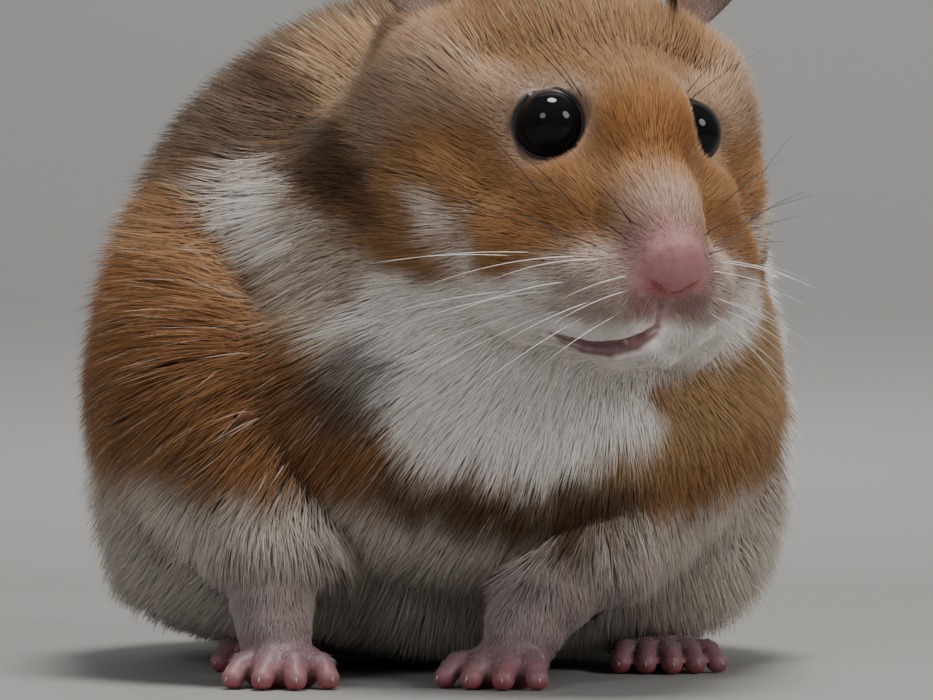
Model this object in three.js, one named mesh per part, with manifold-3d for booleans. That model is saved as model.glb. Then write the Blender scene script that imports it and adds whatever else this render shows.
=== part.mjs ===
// A Syrian hamster (golden hamster), life size, sitting hunched with its head turned to its left.
// Millimetres. +X is the animal's left, -Y the way the trunk faces, +Z up. The outline is that of the coat's tips.
// Each body part is a ball whose vertices are pushed out to one smooth field of blended ellipsoids, then parted
// from its neighbours by thin cuts. Limbs, toes, tail and claws are lathe profiles bent along curves.
import * as THREE from "three";
import { mergeVertices } from "three/addons/utils/BufferGeometryUtils.js";
import Module from "manifold-3d";

const wasm = await Module();
wasm.setup();

// ---- driving sizes ----
const GAP = 0.3; // left between neighbouring parts
const TRUNK_WIDTH = 77;
const TRUNK_DEPTH = 78;
const TRUNK_TOP = 74;
const HEAD_TURN = THREE.MathUtils.degToRad(26); // to the animal's left
const HEAD_NOD = THREE.MathUtils.degToRad(15); // nose down
const MID_EYES = new THREE.Vector3(14.35, -5, 52.6);
const EYE_RADIUS = 3.3;
const EYE_HALF_SPAN = 7.3;
const EAR_HEIGHT = 15.5;
const EAR_WIDTH = 14.5;
const EAR_THICKNESS = 1.0;
const TOE_RADIUS = 1.1;
const CLAW_LENGTH = 1.7;
const CLAW_RADIUS = 0.36;

const vec = (x, y, z) => new THREE.Vector3(x, y, z);

// ---- the smooth field ----
// An ellipsoid, optionally leaned about X, as a signed distance that is true near its surface.
function ellipsoid(centre, radii, lean = 0) {
  const turn = new THREE.Quaternion().setFromAxisAngle(vec(1, 0, 0), -lean);
  const scaled = vec(0, 0, 0);
  const twice = vec(0, 0, 0);
  return (p) => {
    scaled.copy(p).sub(centre).applyQuaternion(turn).divide(radii);
    const k0 = scaled.length();
    if (k0 < 1e-6) return -Math.min(radii.x, radii.y, radii.z);
    const k1 = twice.copy(scaled).divide(radii).length();
    return (k0 * (k0 - 1)) / k1;
  };
}

// The two ellipsoids of a pair, mirrored in the plane X = 0.
const pair = (centre, radii, lean = 0) => [
  ellipsoid(centre, radii, lean),
  ellipsoid(vec(-centre.x, centre.y, centre.z), radii, lean),
];

// The polynomial smooth minimum, which rounds a crease over about `blend` millimetres.
function smoothMin(a, b, blend) {
  const h = Math.max(blend - Math.abs(a - b), 0) / blend;
  return Math.min(a, b) - (h * h * blend) / 4;
}

const smoothMax = (a, b, blend) => -smoothMin(-a, -b, blend);

function blended(shapes, blend) {
  return (p) => shapes.reduce((d, shape) => smoothMin(d, shape(p), blend), 1e3);
}

// A field that is defined in a group's own frame, read in the part's frame.
function placed(field, matrix) {
  const inverse = matrix.clone().invert();
  const local = vec(0, 0, 0);
  return (p) => field(local.copy(p).applyMatrix4(inverse));
}

// ---- solids ----
function solidOf(geometry) {
  const bare = geometry.clone();
  for (const name of Object.keys(bare.attributes)) {
    if (name !== "position") bare.deleteAttribute(name);
  }
  const merged = mergeVertices(bare, 1e-4);
  return new wasm.Manifold(
    new wasm.Mesh({
      numProp: 3,
      vertProperties: new Float32Array(merged.attributes.position.array),
      triVerts: new Uint32Array(merged.index.array),
    }),
  );
}

function geometryOf(solid) {
  const mesh = solid.getMesh();
  const geometry = new THREE.BufferGeometry();
  geometry.setAttribute("position", new THREE.BufferAttribute(mesh.vertProperties, 3));
  geometry.setIndex(new THREE.BufferAttribute(mesh.triVerts, 1));
  geometry.computeVertexNormals();
  return geometry;
}

function moved(geometry, change) {
  const p = vec(0, 0, 0);
  const position = geometry.attributes.position;
  for (let i = 0; i < position.count; i++) {
    p.fromBufferAttribute(position, i);
    change(p);
    position.setXYZ(i, p.x, p.y, p.z);
  }
  return geometry;
}

// A ball round `centre` with each vertex pushed out along its ray to where the field first reaches `level`.
const MARCH_STEP = 1.5;
const HALVINGS = 18;
function pushedOut(centre, field, detail, level = 0) {
  const at = vec(0, 0, 0);
  const ball = new THREE.IcosahedronGeometry(1, detail);
  return solidOf(
    moved(ball, (p) => {
      const ray = p.clone().normalize();
      const inside = (r) => field(at.copy(centre).addScaledVector(ray, r)) < level;
      let low = 0;
      while (inside(low + MARCH_STEP)) low += MARCH_STEP;
      let high = low + MARCH_STEP;
      for (let i = 0; i < HALVINGS; i++) {
        const middle = (low + high) / 2;
        if (inside(middle)) low = middle;
        else high = middle;
      }
      p.copy(centre).addScaledVector(ray, low);
    }),
  );
}

// An ellipsoid as a solid, used as a cutter; `grow` widens it for the other side of a cut.
const UPRIGHT = new THREE.Matrix4();
function egg(centre, radii, matrix = UPRIGHT, grow = 0, detail = 2) {
  const ball = new THREE.IcosahedronGeometry(1, detail);
  ball.scale(radii.x + grow, radii.y + grow, radii.z + grow);
  ball.translate(centre.x, centre.y, centre.z);
  ball.applyMatrix4(matrix);
  return solidOf(ball);
}

// A box that fills everything below the floor.
const ROOM = 400;
const belowFloor = solidOf(new THREE.BoxGeometry(ROOM, ROOM, ROOM).translate(0, 0, -ROOM / 2));
const standing = (solid) => solid.subtract(belowFloor);

// A box that fills everything above a plane across the ankle at height z.
const above = (z) => solidOf(new THREE.BoxGeometry(ROOM, ROOM, ROOM).translate(0, 0, z + ROOM / 2));

// A lathe profile bent along a smooth curve through `points`, with a radius at each point and rounded ends.
function bent(points, radii, { around = 10, steps = 8, blunt = 5, grow = 0, flat = 1 } = {}) {
  const curve = new THREE.CatmullRomCurve3(points, false, "centripetal");
  const radiusAt = (t) => {
    const place = t * (radii.length - 1);
    const i = Math.min(Math.floor(place), radii.length - 2);
    return THREE.MathUtils.lerp(radii[i], radii[i + 1], place - i);
  };
  const profile = [];
  for (let i = 0; i <= steps; i++) {
    const t = (1 - Math.cos((Math.PI * i) / steps)) / 2;
    const rounding = Math.sqrt(Math.max(1 - Math.abs(2 * t - 1) ** blunt, 0));
    profile.push(new THREE.Vector2(i % steps ? (radiusAt(t) + grow) * rounding : 0, t));
  }
  const sideways = vec(1, 0, 0);
  return solidOf(
    moved(new THREE.LatheGeometry(profile, around), (p) => {
      const along = curve.getTangentAt(p.y);
      const up = vec(0, 0, 0).crossVectors(sideways, along).normalize();
      const across = vec(0, 0, 0).crossVectors(along, up);
      const end = p.y < 0.5 ? -grow : grow;
      const offset = across.multiplyScalar(p.x).addScaledVector(up, p.z * flat);
      p.copy(curve.getPointAt(p.y)).add(offset).addScaledVector(along, end);
    }),
  );
}

const union = (solids) => solids.reduce((a, b) => a.add(b));

// ---- trunk and head fields ----
const TRUNK_X = -3; // the trunk's middle plane
const HALF = TRUNK_WIDTH / 2;
const EGG_HEIGHT = 32; // of the widest level of the back
const trunkShapes = [
  ellipsoid(vec(TRUNK_X, 39, EGG_HEIGHT), vec(HALF - 0.9, 34, TRUNK_TOP - EGG_HEIGHT - 1)), // back
  ellipsoid(vec(TRUNK_X, 41, 24), vec(HALF - 0.8, TRUNK_DEPTH / 2 - 2, 26)), // belly and flanks
  ellipsoid(vec(3, 15, 42), vec(25, 17, 22)), // shoulders and nape
  ellipsoid(vec(1, 7, 27), vec(20, 11, 17)), // chest
  ellipsoid(vec(TRUNK_X - 19, 14, 27), vec(13, 13, 14)), // right shoulder
  ellipsoid(vec(TRUNK_X + 19, 14, 26), vec(13, 13, 13)), // left shoulder
  ellipsoid(vec(TRUNK_X - 24, 23, 31), vec(11, 15, 18)), // right ribs
  ellipsoid(vec(TRUNK_X + 24, 23, 31), vec(11, 15, 18)), // left ribs
  ellipsoid(vec(TRUNK_X - 18.5, 40, 15), vec(17, 24, 17)), // right haunch
  ellipsoid(vec(TRUNK_X + 18.5, 38, 15), vec(17, 22, 17)), // left haunch
  ellipsoid(vec(TRUNK_X, 68, 17), vec(17, 12, 17)), // rump
];
const TRUNK_BLEND = 7;
// The soft underside settles on the floor, so its edge rounds off into a small flat.
const SETTLED = -0.4;
const FLOOR_ROUNDING = 11;
const heap = blended(trunkShapes, TRUNK_BLEND);
const trunkField = (p) => smoothMax(heap(p), SETTLED - p.z, FLOOR_ROUNDING);

// The head's own frame: origin midway between the eyes, +X its left, -Y towards the nose, +Z its crown.
const headMatrix = new THREE.Matrix4()
  .makeTranslation(MID_EYES.x, MID_EYES.y, MID_EYES.z)
  .multiply(new THREE.Matrix4().makeRotationZ(HEAD_TURN))
  .multiply(new THREE.Matrix4().makeRotationX(HEAD_NOD));
const NOSE_TIP = vec(0, -14.5, -10.6);
const headShapes = [
  ellipsoid(vec(0, 11.5, -1), vec(13.5, 13, 12.5)), // skull
  ellipsoid(vec(0, 1.5, 0.3), vec(7.4, 9, 6.6)), // brow
  ellipsoid(vec(0, -6, -5.6), vec(5.4, 9, 5), 0.6), // bridge of the muzzle
  ...pair(vec(12.8, 10, 0), vec(7, 9, 8)), // temples
  ellipsoid(vec(0, 12, 3), vec(16, 8.5, 9)), // crown, broad between the ears
  ...pair(vec(4.4, -7.6, -13), vec(4.6, 5.8, 4.5)), // whisker pads
  ...pair(vec(9, -1, -12.5), vec(6.2, 7.8, 7)), // front of the cheeks
  ...pair(vec(6.8, -2.6, -6.4), vec(4.4, 5.2, 4.6)), // under the eyes
  ...pair(vec(12.6, 8, -9), vec(7.6, 9.5, 10)), // cheek pouches
  ...pair(vec(12.2, 16, -4), vec(8, 10, 11)), // sides of the neck
  ellipsoid(vec(0, -5.8, -17.4), vec(7, 5.6, 4)), // chin
  ellipsoid(vec(0, 5, -14), vec(13, 10, 8)), // throat
];
const noseBall = ellipsoid(vec(0, NOSE_TIP.y + 2.4, NOSE_TIP.z + 0.6), vec(2.9, 2.6, 2.7));
const HEAD_BLEND = 3.6;
const NOSE_BLEND = 1.6;
const headField = placed((p) => smoothMin(blendedHead(p), noseBall(p), NOSE_BLEND), headMatrix);
function blendedHead(p) {
  return headShapes.reduce((d, shape) => smoothMin(d, shape(p), HEAD_BLEND), 1e3);
}
const NECK_BLEND = 8;
const bodyField = (p) => smoothMin(trunkField(p), headField(p), NECK_BLEND);

// The head is what of the body lies in one egg-shaped region round it. Beyond the region's edge it keeps a rim of
// spare material while it is meshed, so that the cut itself is crisp.
const HEAD_CUT_CENTRE = vec(0, 2, -5);
const HEAD_CUT_RADII = vec(23, 24, 22);
const SPARE = 3;
const headRegion = placed(ellipsoid(HEAD_CUT_CENTRE, HEAD_CUT_RADII), headMatrix);
const headCutter = (grow) => egg(HEAD_CUT_CENTRE, HEAD_CUT_RADII, headMatrix, grow, 3);

const TRUNK_DETAIL = 7;
const HEAD_DETAIL = 7;
const trunkCentre = vec(TRUNK_X, 34, 32);
const headCentre = vec(0, 2, -4).applyMatrix4(headMatrix);
const headOnly = (p) => Math.max(bodyField(p), headRegion(p) - SPARE);
const wholeTrunk = (grow = 0) => pushedOut(trunkCentre, bodyField, TRUNK_DETAIL, grow);
const wholeHead = (grow = 0) => pushedOut(headCentre, headOnly, HEAD_DETAIL, grow);

// ---- eyes and nose ----
const eyeCentre = (side) => vec(side * EYE_HALF_SPAN, 0, 0);
const EYE_DETAIL = 2;
function eyeball(side, grow = 0) {
  const r = vec(EYE_RADIUS, EYE_RADIUS, EYE_RADIUS);
  return egg(eyeCentre(side), r, headMatrix, grow, EYE_DETAIL);
}
const nosePatch = (grow) =>
  egg(vec(0, NOSE_TIP.y - 0.2, NOSE_TIP.z + 0.2), vec(3.1, 3.1, 2.9), headMatrix, grow, 2);

// ---- ears ----
// A flattened ball, cupped forwards and narrowed to its root, standing on the back of the skull.
const EAR_CUP = 0.16;
const EAR_PLACE = vec(14.7, 15, 7.6); // of the left ear's root, in the head's frame
function ear(side) {
  const shell = moved(new THREE.SphereGeometry(1, 14, 8), (p) => {
    const height = (p.z + 1) / 2;
    const width = (EAR_WIDTH / 2) * (0.6 + 0.4 * Math.sin(Math.PI * Math.min(height * 0.9, 1)));
    const x = p.x * width;
    const cup = EAR_CUP * x * x - 2.4 * Math.sin(Math.PI * height);
    p.set(x, (p.y * EAR_THICKNESS) / 2 - cup * 0.55, height * EAR_HEIGHT);
  });
  const pose = new THREE.Matrix4()
    .makeTranslation(side * EAR_PLACE.x, EAR_PLACE.y, EAR_PLACE.z)
    .multiply(new THREE.Matrix4().makeRotationY(side * 0.12))
    .multiply(new THREE.Matrix4().makeRotationZ(side * 0.5))
    .multiply(new THREE.Matrix4().makeRotationX(-0.25));
  return solidOf(shell.applyMatrix4(headMatrix.clone().multiply(pose)));
}

// ---- feet ----
// In a foot's own frame the sole is on z = 0, the toes point to -Y and `side` is 1 on the left foot.
function toe(spec, grow = 0) {
  const { x, base, length, angle } = spec;
  const forward = (reach, z) =>
    vec(x + reach * Math.sin(angle), base - reach * Math.cos(angle), z);
  const points = [forward(-1.5, 2.2), forward(length * 0.4, 2.3), forward(length, TOE_RADIUS * 0.72)];
  const radii = [TOE_RADIUS, TOE_RADIUS * 1.05, TOE_RADIUS];
  return bent(points, radii, { around: 6, steps: 4, grow });
}
function claw(spec) {
  const { x, base, length, angle } = spec;
  const forward = (reach, z) =>
    vec(x + reach * Math.sin(angle), base - reach * Math.cos(angle), z);
  const points = [
    forward(length - 0.3, TOE_RADIUS * 1.25),
    forward(length + CLAW_LENGTH * 0.5, TOE_RADIUS * 1.2),
    forward(length + CLAW_LENGTH, TOE_RADIUS * 0.6),
  ];
  return bent(points, [CLAW_RADIUS, CLAW_RADIUS, CLAW_RADIUS * 0.7], { around: 4, steps: 3, blunt: 3 });
}
const fan = (count, spread, width, base, length) =>
  Array.from({ length: count }, (_, i) => {
    const across = (2 * i) / (count - 1) - 1; // -1 on the outside to 1 on the inside
    return {
      x: across * width,
      base: base + Math.abs(across) * 0.9,
      length: length - Math.abs(across) * 0.5,
      angle: across * spread,
    };
  });
const FRONT_TOES = fan(4, 0.62, 3.3, -0.8, 3.4);
const HIND_TOES = fan(5, 0.38, 3.7, -3.2, 3.9);

// Soles are lathes laid along the foot, from heel to the roots of the toes.
const frontPalm = () =>
  bent([vec(0, 4.6, 2.0), vec(0, 1, 1.9), vec(0, -2.4, 1.7)], [3, 3.9, 3.6], {
    around: 8,
    steps: 5,
    blunt: 3,
    flat: 0.6,
  });
const hindSole = () =>
  bent([vec(0, 12.5, 2.2), vec(0, 4, 2.1), vec(0, -4.2, 1.8)], [2.8, 3.8, 4.2], {
    around: 8,
    steps: 5,
    blunt: 3,
    flat: 0.62,
  });

// ---- legs ----
// Where each foot stands, which way it points, and the leg's line from the foot up to where the trunk hides it.
const limbs = [
  {
    leg: "front_leg_right",
    foot: "front_paw_right",
    at: vec(-17.4, 0.5, 0),
    turn: -0.06,
    toes: FRONT_TOES,
    sole: frontPalm,
    ankle: 3.6,
    line: [vec(-17.9, 2, 1.4), vec(-18.5, 3, 5.5), vec(-18.8, 4.6, 9), vec(-19, 7, 14), vec(-20, 12, 22)],
    radii: [3.5, 3.8, 3.8, 6.2, 9.5],
    region: [vec(-22, 10, 21), vec(11, 13, 14)],
  },
  {
    leg: "front_leg_left",
    foot: "front_paw_left",
    at: vec(3.0, 0.5, 0),
    turn: -0.3,
    toes: FRONT_TOES,
    sole: frontPalm,
    ankle: 3.6,
    line: [vec(4.2, 2, 1.4), vec(5.6, 2.8, 5.2), vec(8.4, 4.2, 8.8), vec(12, 7, 13), vec(16, 12, 21)],
    radii: [3.8, 4.1, 4.3, 5.8, 9],
    region: [vec(17, 10, 20), vec(11, 13, 14)],
  },
  {
    leg: "hind_leg_right",
    foot: "hind_foot_right",
    at: vec(-19.6, 25, 0),
    turn: -0.1,
    toes: HIND_TOES,
    sole: hindSole,
    ankle: 3.6,
    line: [vec(-19.8, 34, 2), vec(-20.5, 36, 6), vec(-21.5, 38, 10), vec(-24, 41, 16)],
    radii: [3.2, 3.8, 6, 9],
    region: [vec(-29, 43, 14), vec(17, 24, 19)],
  },
  {
    leg: "hind_leg_left",
    foot: "hind_foot_left",
    at: vec(20, 24, 0),
    turn: 0.1,
    toes: HIND_TOES,
    sole: hindSole,
    ankle: 3.6,
    line: [vec(19.6, 33, 2), vec(19.8, 35, 6), vec(20, 37, 10), vec(20, 40, 16)],
    radii: [3.2, 3.8, 6, 9],
    region: [vec(24, 42, 14), vec(17, 24, 19)],
  },
];
const footMatrix = (limb) =>
  new THREE.Matrix4()
    .makeTranslation(limb.at.x, limb.at.y, 0)
    .multiply(new THREE.Matrix4().makeRotationZ(limb.turn));

// Each toe is in the foot's own frame, so the solids are moved by the foot's matrix after they are joined.
function transformed(solid, matrix) {
  return solidOf(geometryOf(solid).applyMatrix4(matrix));
}

const lowerLeg = (limb, grow = 0) => bent(limb.line, limb.radii, { around: 8, steps: 6, grow });

// A foot is its sole, toes and the end of the leg up to the ankle.
function footSolid(limb) {
  const own = transformed(union([limb.sole(), ...limb.toes.map((spec) => toe(spec))]), footMatrix(limb));
  return standing(own.add(lowerLeg(limb)).subtract(above(limb.ankle - GAP)));
}

// The room that the leg and the trunk leave for a foot: a plain slipper round its sole and toes, up to the ankle.
function footRoom(limb) {
  const reach = limb.toes[1].base - limb.toes[1].length - TOE_RADIUS;
  const slipper = bent([vec(0, 12.5, 2.2), vec(0, 4, 2.1), vec(0, reach, 2.2)], [3.1, 5, 7], {
    around: 8,
    steps: 5,
    blunt: 7,
    flat: 0.64,
  });
  return transformed(slipper, footMatrix(limb)).add(lowerLeg(limb, GAP)).subtract(above(limb.ankle));
}

// ---- materials and assembly ----
const material = (color, roughness) =>
  new THREE.MeshStandardMaterial({ color, roughness, metalness: 0 });
const COAT = material(0xa97f55, 0.9);
const PINK = material(0xc79a98, 0.6);
const EAR_SKIN = material(0x6b5d5f, 0.75);
const EYE_BLACK = material(0x08080a, 0.05);
const HORN = material(0xdccfc0, 0.45);

const hamster = new THREE.Group();
function add(name, solid, finish) {
  const mesh = new THREE.Mesh(geometryOf(solid), finish);
  mesh.name = name;
  hamster.add(mesh);
}

const trunkWhole = wholeTrunk();
const trunkGrown = wholeTrunk(GAP);
const headWhole = wholeHead();
const headGrown = wholeHead(GAP);

let trunk = standing(trunkWhole.subtract(headCutter(GAP)));
for (const limb of limbs) {
  const [centre, radii] = limb.region;
  const upper = trunk.intersect(egg(centre, radii));
  const room = footRoom(limb);
  add(limb.leg, upper.add(lowerLeg(limb)).subtract(room), COAT);
  add(limb.foot, footSolid(limb), PINK);
  trunk = trunk.subtract(egg(centre, radii, UPRIGHT, GAP)).subtract(lowerLeg(limb, GAP)).subtract(room);
  limb.toes.forEach((spec, i) => {
    const nail = transformed(claw(spec).subtract(toe(spec, GAP)), footMatrix(limb));
    add(limb.foot + "_claw_" + (i + 1), standing(nail), HORN);
  });
}
const TAIL_LINE = [vec(TRUNK_X, 70, 9), vec(TRUNK_X, 78, 7), vec(TRUNK_X, 84, 4.5)];
const tail = bent(TAIL_LINE, [3.6, 3.2, 1.8], { around: 12, steps: 7, blunt: 3 });
add("trunk", trunk, COAT);
add("tail", standing(tail.subtract(trunkGrown)), PINK);

const head = headWhole.intersect(headCutter(0)).subtract(eyeball(1, GAP)).subtract(eyeball(-1, GAP));
add("head", head.subtract(nosePatch(GAP)), COAT);
add("nose", headWhole.intersect(nosePatch(0)), PINK);
for (const [name, side] of [["left", 1], ["right", -1]]) {
  add("eye_" + name, eyeball(side), EYE_BLACK);
  add("ear_" + name, ear(side).subtract(headGrown).subtract(trunkGrown), EAR_SKIN);
}

// The origin is under the middle of the animal, on the floor.
const box = new THREE.Box3().setFromObject(hamster);
const middle = box.getCenter(vec(0, 0, 0));
hamster.position.set(-middle.x, -middle.y, -box.min.z);

export default hamster;
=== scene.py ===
# %% [markdown]
# # A Syrian hamster, life size
#
# The animal sits hunched on the floor with its head turned to its left. The frame holds its true outline,
# coat included, as plain solids. This file makes what is seen: one skin that lies inside that outline by
# the depth of the coat, the coat itself as thousands of small solid tufts, the eyes, the claws and the
# whiskers.
#
# Lengths are written in millimetres and turned into metres only when a mesh is made.

# %% Load the frame
import math

import bmesh
import bpy
import numpy as np
from mathutils import Matrix, Vector
from mathutils.kdtree import KDTree


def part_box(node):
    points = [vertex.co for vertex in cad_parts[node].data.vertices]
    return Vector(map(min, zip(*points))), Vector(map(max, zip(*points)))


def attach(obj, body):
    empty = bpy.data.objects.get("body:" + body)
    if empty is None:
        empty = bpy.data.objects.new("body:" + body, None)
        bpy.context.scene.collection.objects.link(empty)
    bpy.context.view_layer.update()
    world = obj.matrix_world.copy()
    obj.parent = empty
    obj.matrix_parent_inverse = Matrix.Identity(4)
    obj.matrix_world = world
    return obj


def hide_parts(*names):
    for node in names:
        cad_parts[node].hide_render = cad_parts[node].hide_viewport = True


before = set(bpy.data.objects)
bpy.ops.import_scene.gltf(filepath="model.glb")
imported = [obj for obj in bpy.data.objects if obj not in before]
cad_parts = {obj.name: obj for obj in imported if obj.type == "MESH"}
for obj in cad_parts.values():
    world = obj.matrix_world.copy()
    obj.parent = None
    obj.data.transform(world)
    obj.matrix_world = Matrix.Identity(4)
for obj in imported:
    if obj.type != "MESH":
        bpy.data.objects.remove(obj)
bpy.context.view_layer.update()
MM = 0.001
print("frame nodes:", len(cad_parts))

# %% [markdown]
# ## The animal's own frame
#
# The forms below are written as an anatomist would measure them, from a fixed mark: the point midway
# between the eyes. The frame says where the eyes are, so the mark ties the forms to the solids without
# any fitting. The head has a frame of its own, with +X to its left, -Y to its nose and +Z to its crown,
# because it is turned and nods.

# %% Marks and frames
MID_EYES = np.array([14.35, -5.0, 52.6])
HEAD_TURN = math.radians(26)
HEAD_NOD = math.radians(15)


def box_middle(node):
    """The middle of a node's box, in millimetres."""
    low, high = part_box(node)
    return (np.array(low) + np.array(high)) / 2 / MM


SHIFT = (box_middle("eye_left") + box_middle("eye_right")) / 2 - MID_EYES


def turned_about_z(angle):
    c, s = math.cos(angle), math.sin(angle)
    return np.array([[c, -s, 0], [s, c, 0], [0, 0, 1]])


def turned_about_x(angle):
    c, s = math.cos(angle), math.sin(angle)
    return np.array([[1, 0, 0], [0, c, -s], [0, s, c]])


def turned_about_y(angle):
    c, s = math.cos(angle), math.sin(angle)
    return np.array([[c, 0, s], [0, 1, 0], [-s, 0, c]])


HEAD = turned_about_z(HEAD_TURN) @ turned_about_x(HEAD_NOD)


def in_head(p):
    """Points of the animal's frame, read in the head's frame."""
    return (p - MID_EYES) @ HEAD


def from_head(q):
    """Points of the head's frame, in the animal's frame."""
    return np.asarray(q, float) @ HEAD.T + MID_EYES


def metres(p):
    """Points of the animal's frame, as the scene's coordinates."""
    return (np.asarray(p) + SHIFT) * MM


print("shift of the animal's frame in mm:", np.round(SHIFT, 2))

# %% [markdown]
# ## Camera, light and floor
#
# The camera stands low and near, about 280 mm from the face and only 22 mm above the floor, and looks
# slightly up. The floor and the wall behind are one pale sheet with a soft bend, and the light is broad
# and comes from above, so the coat is bright on top and falls into shade under the belly.

# %% Camera
PHOTO_WIDTH = 933
FOCAL_PIXELS = 2940
SENSOR = 36.0
CAMERA_PLACE = np.array([0.0, -280.0, 22.1])
CAMERA_PITCH = math.atan(105 / FOCAL_PIXELS)

camera_data = bpy.data.cameras.new("camera")
camera_data.sensor_width = SENSOR
camera_data.lens = SENSOR * FOCAL_PIXELS / PHOTO_WIDTH
camera_data.clip_start = 0.01
camera = bpy.data.objects.new("camera", camera_data)
bpy.context.scene.collection.objects.link(camera)
camera.location = Vector(metres(CAMERA_PLACE))
camera.rotation_euler = (math.pi / 2 + CAMERA_PITCH, 0, 0)
bpy.context.scene.camera = camera
print("lens:", round(camera_data.lens, 2), "mm")

# %% [markdown]
# ## Floor and wall
#
# A photographer stands a small object on a sheet of paper that bends up behind it, so that no edge shows.
# Here the same sheet is one line, extruded sideways. The line could be a curve with a bevel, but a few
# points in a quarter circle and one extrude give the same bend and keep the mesh light. The sheet is part
# of the studio, not of the animal.

# %% Floor and wall
def linked(name, mesh):
    """A new object for a mesh, at the origin."""
    obj = bpy.data.objects.new(name, mesh)
    bpy.context.scene.collection.objects.link(obj)
    return obj


def plain_material(name, colour, roughness):
    material = bpy.data.materials.new(name)
    material.use_nodes = True
    shader = material.node_tree.nodes["Principled BSDF"]
    shader.inputs["Base Color"].default_value = (*colour, 1)
    shader.inputs["Roughness"].default_value = roughness
    return material


WALL_DISTANCE = 0.24
BEND_RADIUS = 0.05
STAGE_HALF_WIDTH = 1.2
STAGE_FRONT = -0.9
WALL_HEIGHT = 1.1


def studio_sweep():
    """A strip of floor that bends up into a wall."""
    bm = bmesh.new()
    profile = [(STAGE_FRONT, 0.0)]
    steps = 12
    for i in range(steps + 1):
        angle = math.pi / 2 * i / steps
        y = WALL_DISTANCE - BEND_RADIUS + BEND_RADIUS * math.sin(angle)
        profile.append((y, BEND_RADIUS * (1 - math.cos(angle))))
    profile.append((WALL_DISTANCE, WALL_HEIGHT))
    points = [bm.verts.new((-STAGE_HALF_WIDTH, y, z)) for y, z in profile]
    edges = [bm.edges.new(pair) for pair in zip(points, points[1:])]
    swept = bmesh.ops.extrude_edge_only(bm, edges=edges)["geom"]
    far = [g for g in swept if isinstance(g, bmesh.types.BMVert)]
    bmesh.ops.translate(bm, verts=far, vec=(2 * STAGE_HALF_WIDTH, 0, 0))
    bmesh.ops.recalc_face_normals(bm, faces=bm.faces)
    mesh = bpy.data.meshes.new("studio_sweep")
    bm.to_mesh(mesh)
    bm.free()
    mesh.shade_smooth()
    return linked("studio_sweep", mesh)


sweep = studio_sweep()
sweep.data.materials.append(plain_material("pale_paper", (0.27, 0.265, 0.255), 0.6))
print("studio sheet:", len(sweep.data.polygons), "faces")

# %% [markdown]
# ## Light
#
# Fur looks best in broad light from above with weaker light from the front, because the hairs then shade
# each other softly. Round area lights are used instead of square ones, since a wet eye mirrors their
# shape. A pale world colour fills what the three lights leave dark.

# %% Lights
def soft_light(name, place, size, power, colour):
    """A round area light at `place`, in metres, facing the animal."""
    data = bpy.data.lights.new(name, "AREA")
    data.shape = "DISK"
    data.size = size
    data.energy = power
    data.color = colour
    light = bpy.data.objects.new(name, data)
    bpy.context.scene.collection.objects.link(light)
    light.location = place
    aim = Vector((0, 0, 0.04)) - Vector(place)
    light.rotation_euler = aim.to_track_quat("-Z", "Y").to_euler()


soft_light("overhead", (0.05, -0.08, 0.75), 0.24, 6.0, (1.0, 0.98, 0.95))
soft_light("front_fill", (-0.4, -0.8, 0.5), 0.3, 2.1, (0.95, 0.98, 1.0))
soft_light("side_fill", (0.6, -0.45, 0.45), 0.3, 3.0, (1.0, 0.98, 0.95))
world = bpy.data.worlds.new("studio")
bpy.context.scene.world = world
world.use_nodes = True
world.node_tree.nodes["Background"].inputs["Color"].default_value = (0.8, 0.84, 0.9, 1)
world.node_tree.nodes["Background"].inputs["Strength"].default_value = 0.26
print("lights:", len(bpy.data.lights))

# %% [markdown]
# ## The form of the body
#
# A sculptor would block the body out in balls of clay and smooth them together. A field does the same:
# each ball is an ellipsoid, a smooth minimum rubs the joint between two of them round, and the surface is
# where the field is zero. Points are then drawn onto that surface, so the skin has no facets, whatever
# mesh it starts from.


# %% Fields
def ellipsoid(p, centre, radii, lean=0.0):
    """Distance to an ellipsoid, leaned about X, true near its surface."""
    x, y, z = (p - np.array(centre)).T
    c, s = math.cos(lean), math.sin(lean)
    q = np.stack([x, y * c + z * s, z * c - y * s], 1) / np.array(radii)
    k0 = np.sqrt((q * q).sum(1))
    k1 = np.sqrt(((q / np.array(radii)) ** 2).sum(1))
    return k0 * (k0 - 1) / np.maximum(k1, 1e-6)


def round_cone(p, a, b, radius_a, radius_b):
    """Distance to a rod from a to b with a round end of its own radius at each."""
    a, b = np.array(a, float), np.array(b, float)
    axis = b - a
    t = np.clip((p - a) @ axis / (axis @ axis), 0, 1)
    away = p - a - t[:, None] * axis
    return np.sqrt((away * away).sum(1)) - radius_a - t * (radius_b - radius_a)


def smooth_min(a, b, blend):
    h = np.maximum(blend - np.abs(a - b), 0) / blend
    return np.minimum(a, b) - h * h * blend / 4


def smooth_max(a, b, blend):
    return -smooth_min(-a, -b, blend)


def blended(p, shapes, blend):
    """All ellipsoids of a list, rubbed together."""
    total = ellipsoid(p, *shapes[0])
    for shape in shapes[1:]:
        total = smooth_min(total, ellipsoid(p, *shape), blend)
    return total


def rod_chain(p, points, radii, blend):
    """A limb of rods through a list of points."""
    total = None
    for a, b, ra, rb in zip(points, points[1:], radii, radii[1:]):
        rod = round_cone(p, a, b, ra, rb)
        total = rod if total is None else smooth_min(total, rod, blend)
    return total


def fade(x, low, high):
    """0 below low, 1 above high, smooth between them."""
    t = np.clip((x - low) / (high - low), 0, 1)
    return t * t * (3 - 2 * t)

# %% [markdown]
# ## The trunk
#
# A crouching hamster is a broad pear in shape: the back arches over the hips, the haunches swell at the
# sides, and the shoulders hang forward under the chin. Eleven balls set out those masses, with the larger
# ones first. The underside is cut by the floor with a wide rounding, because the animal's weight settles
# the belly flat.

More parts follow.
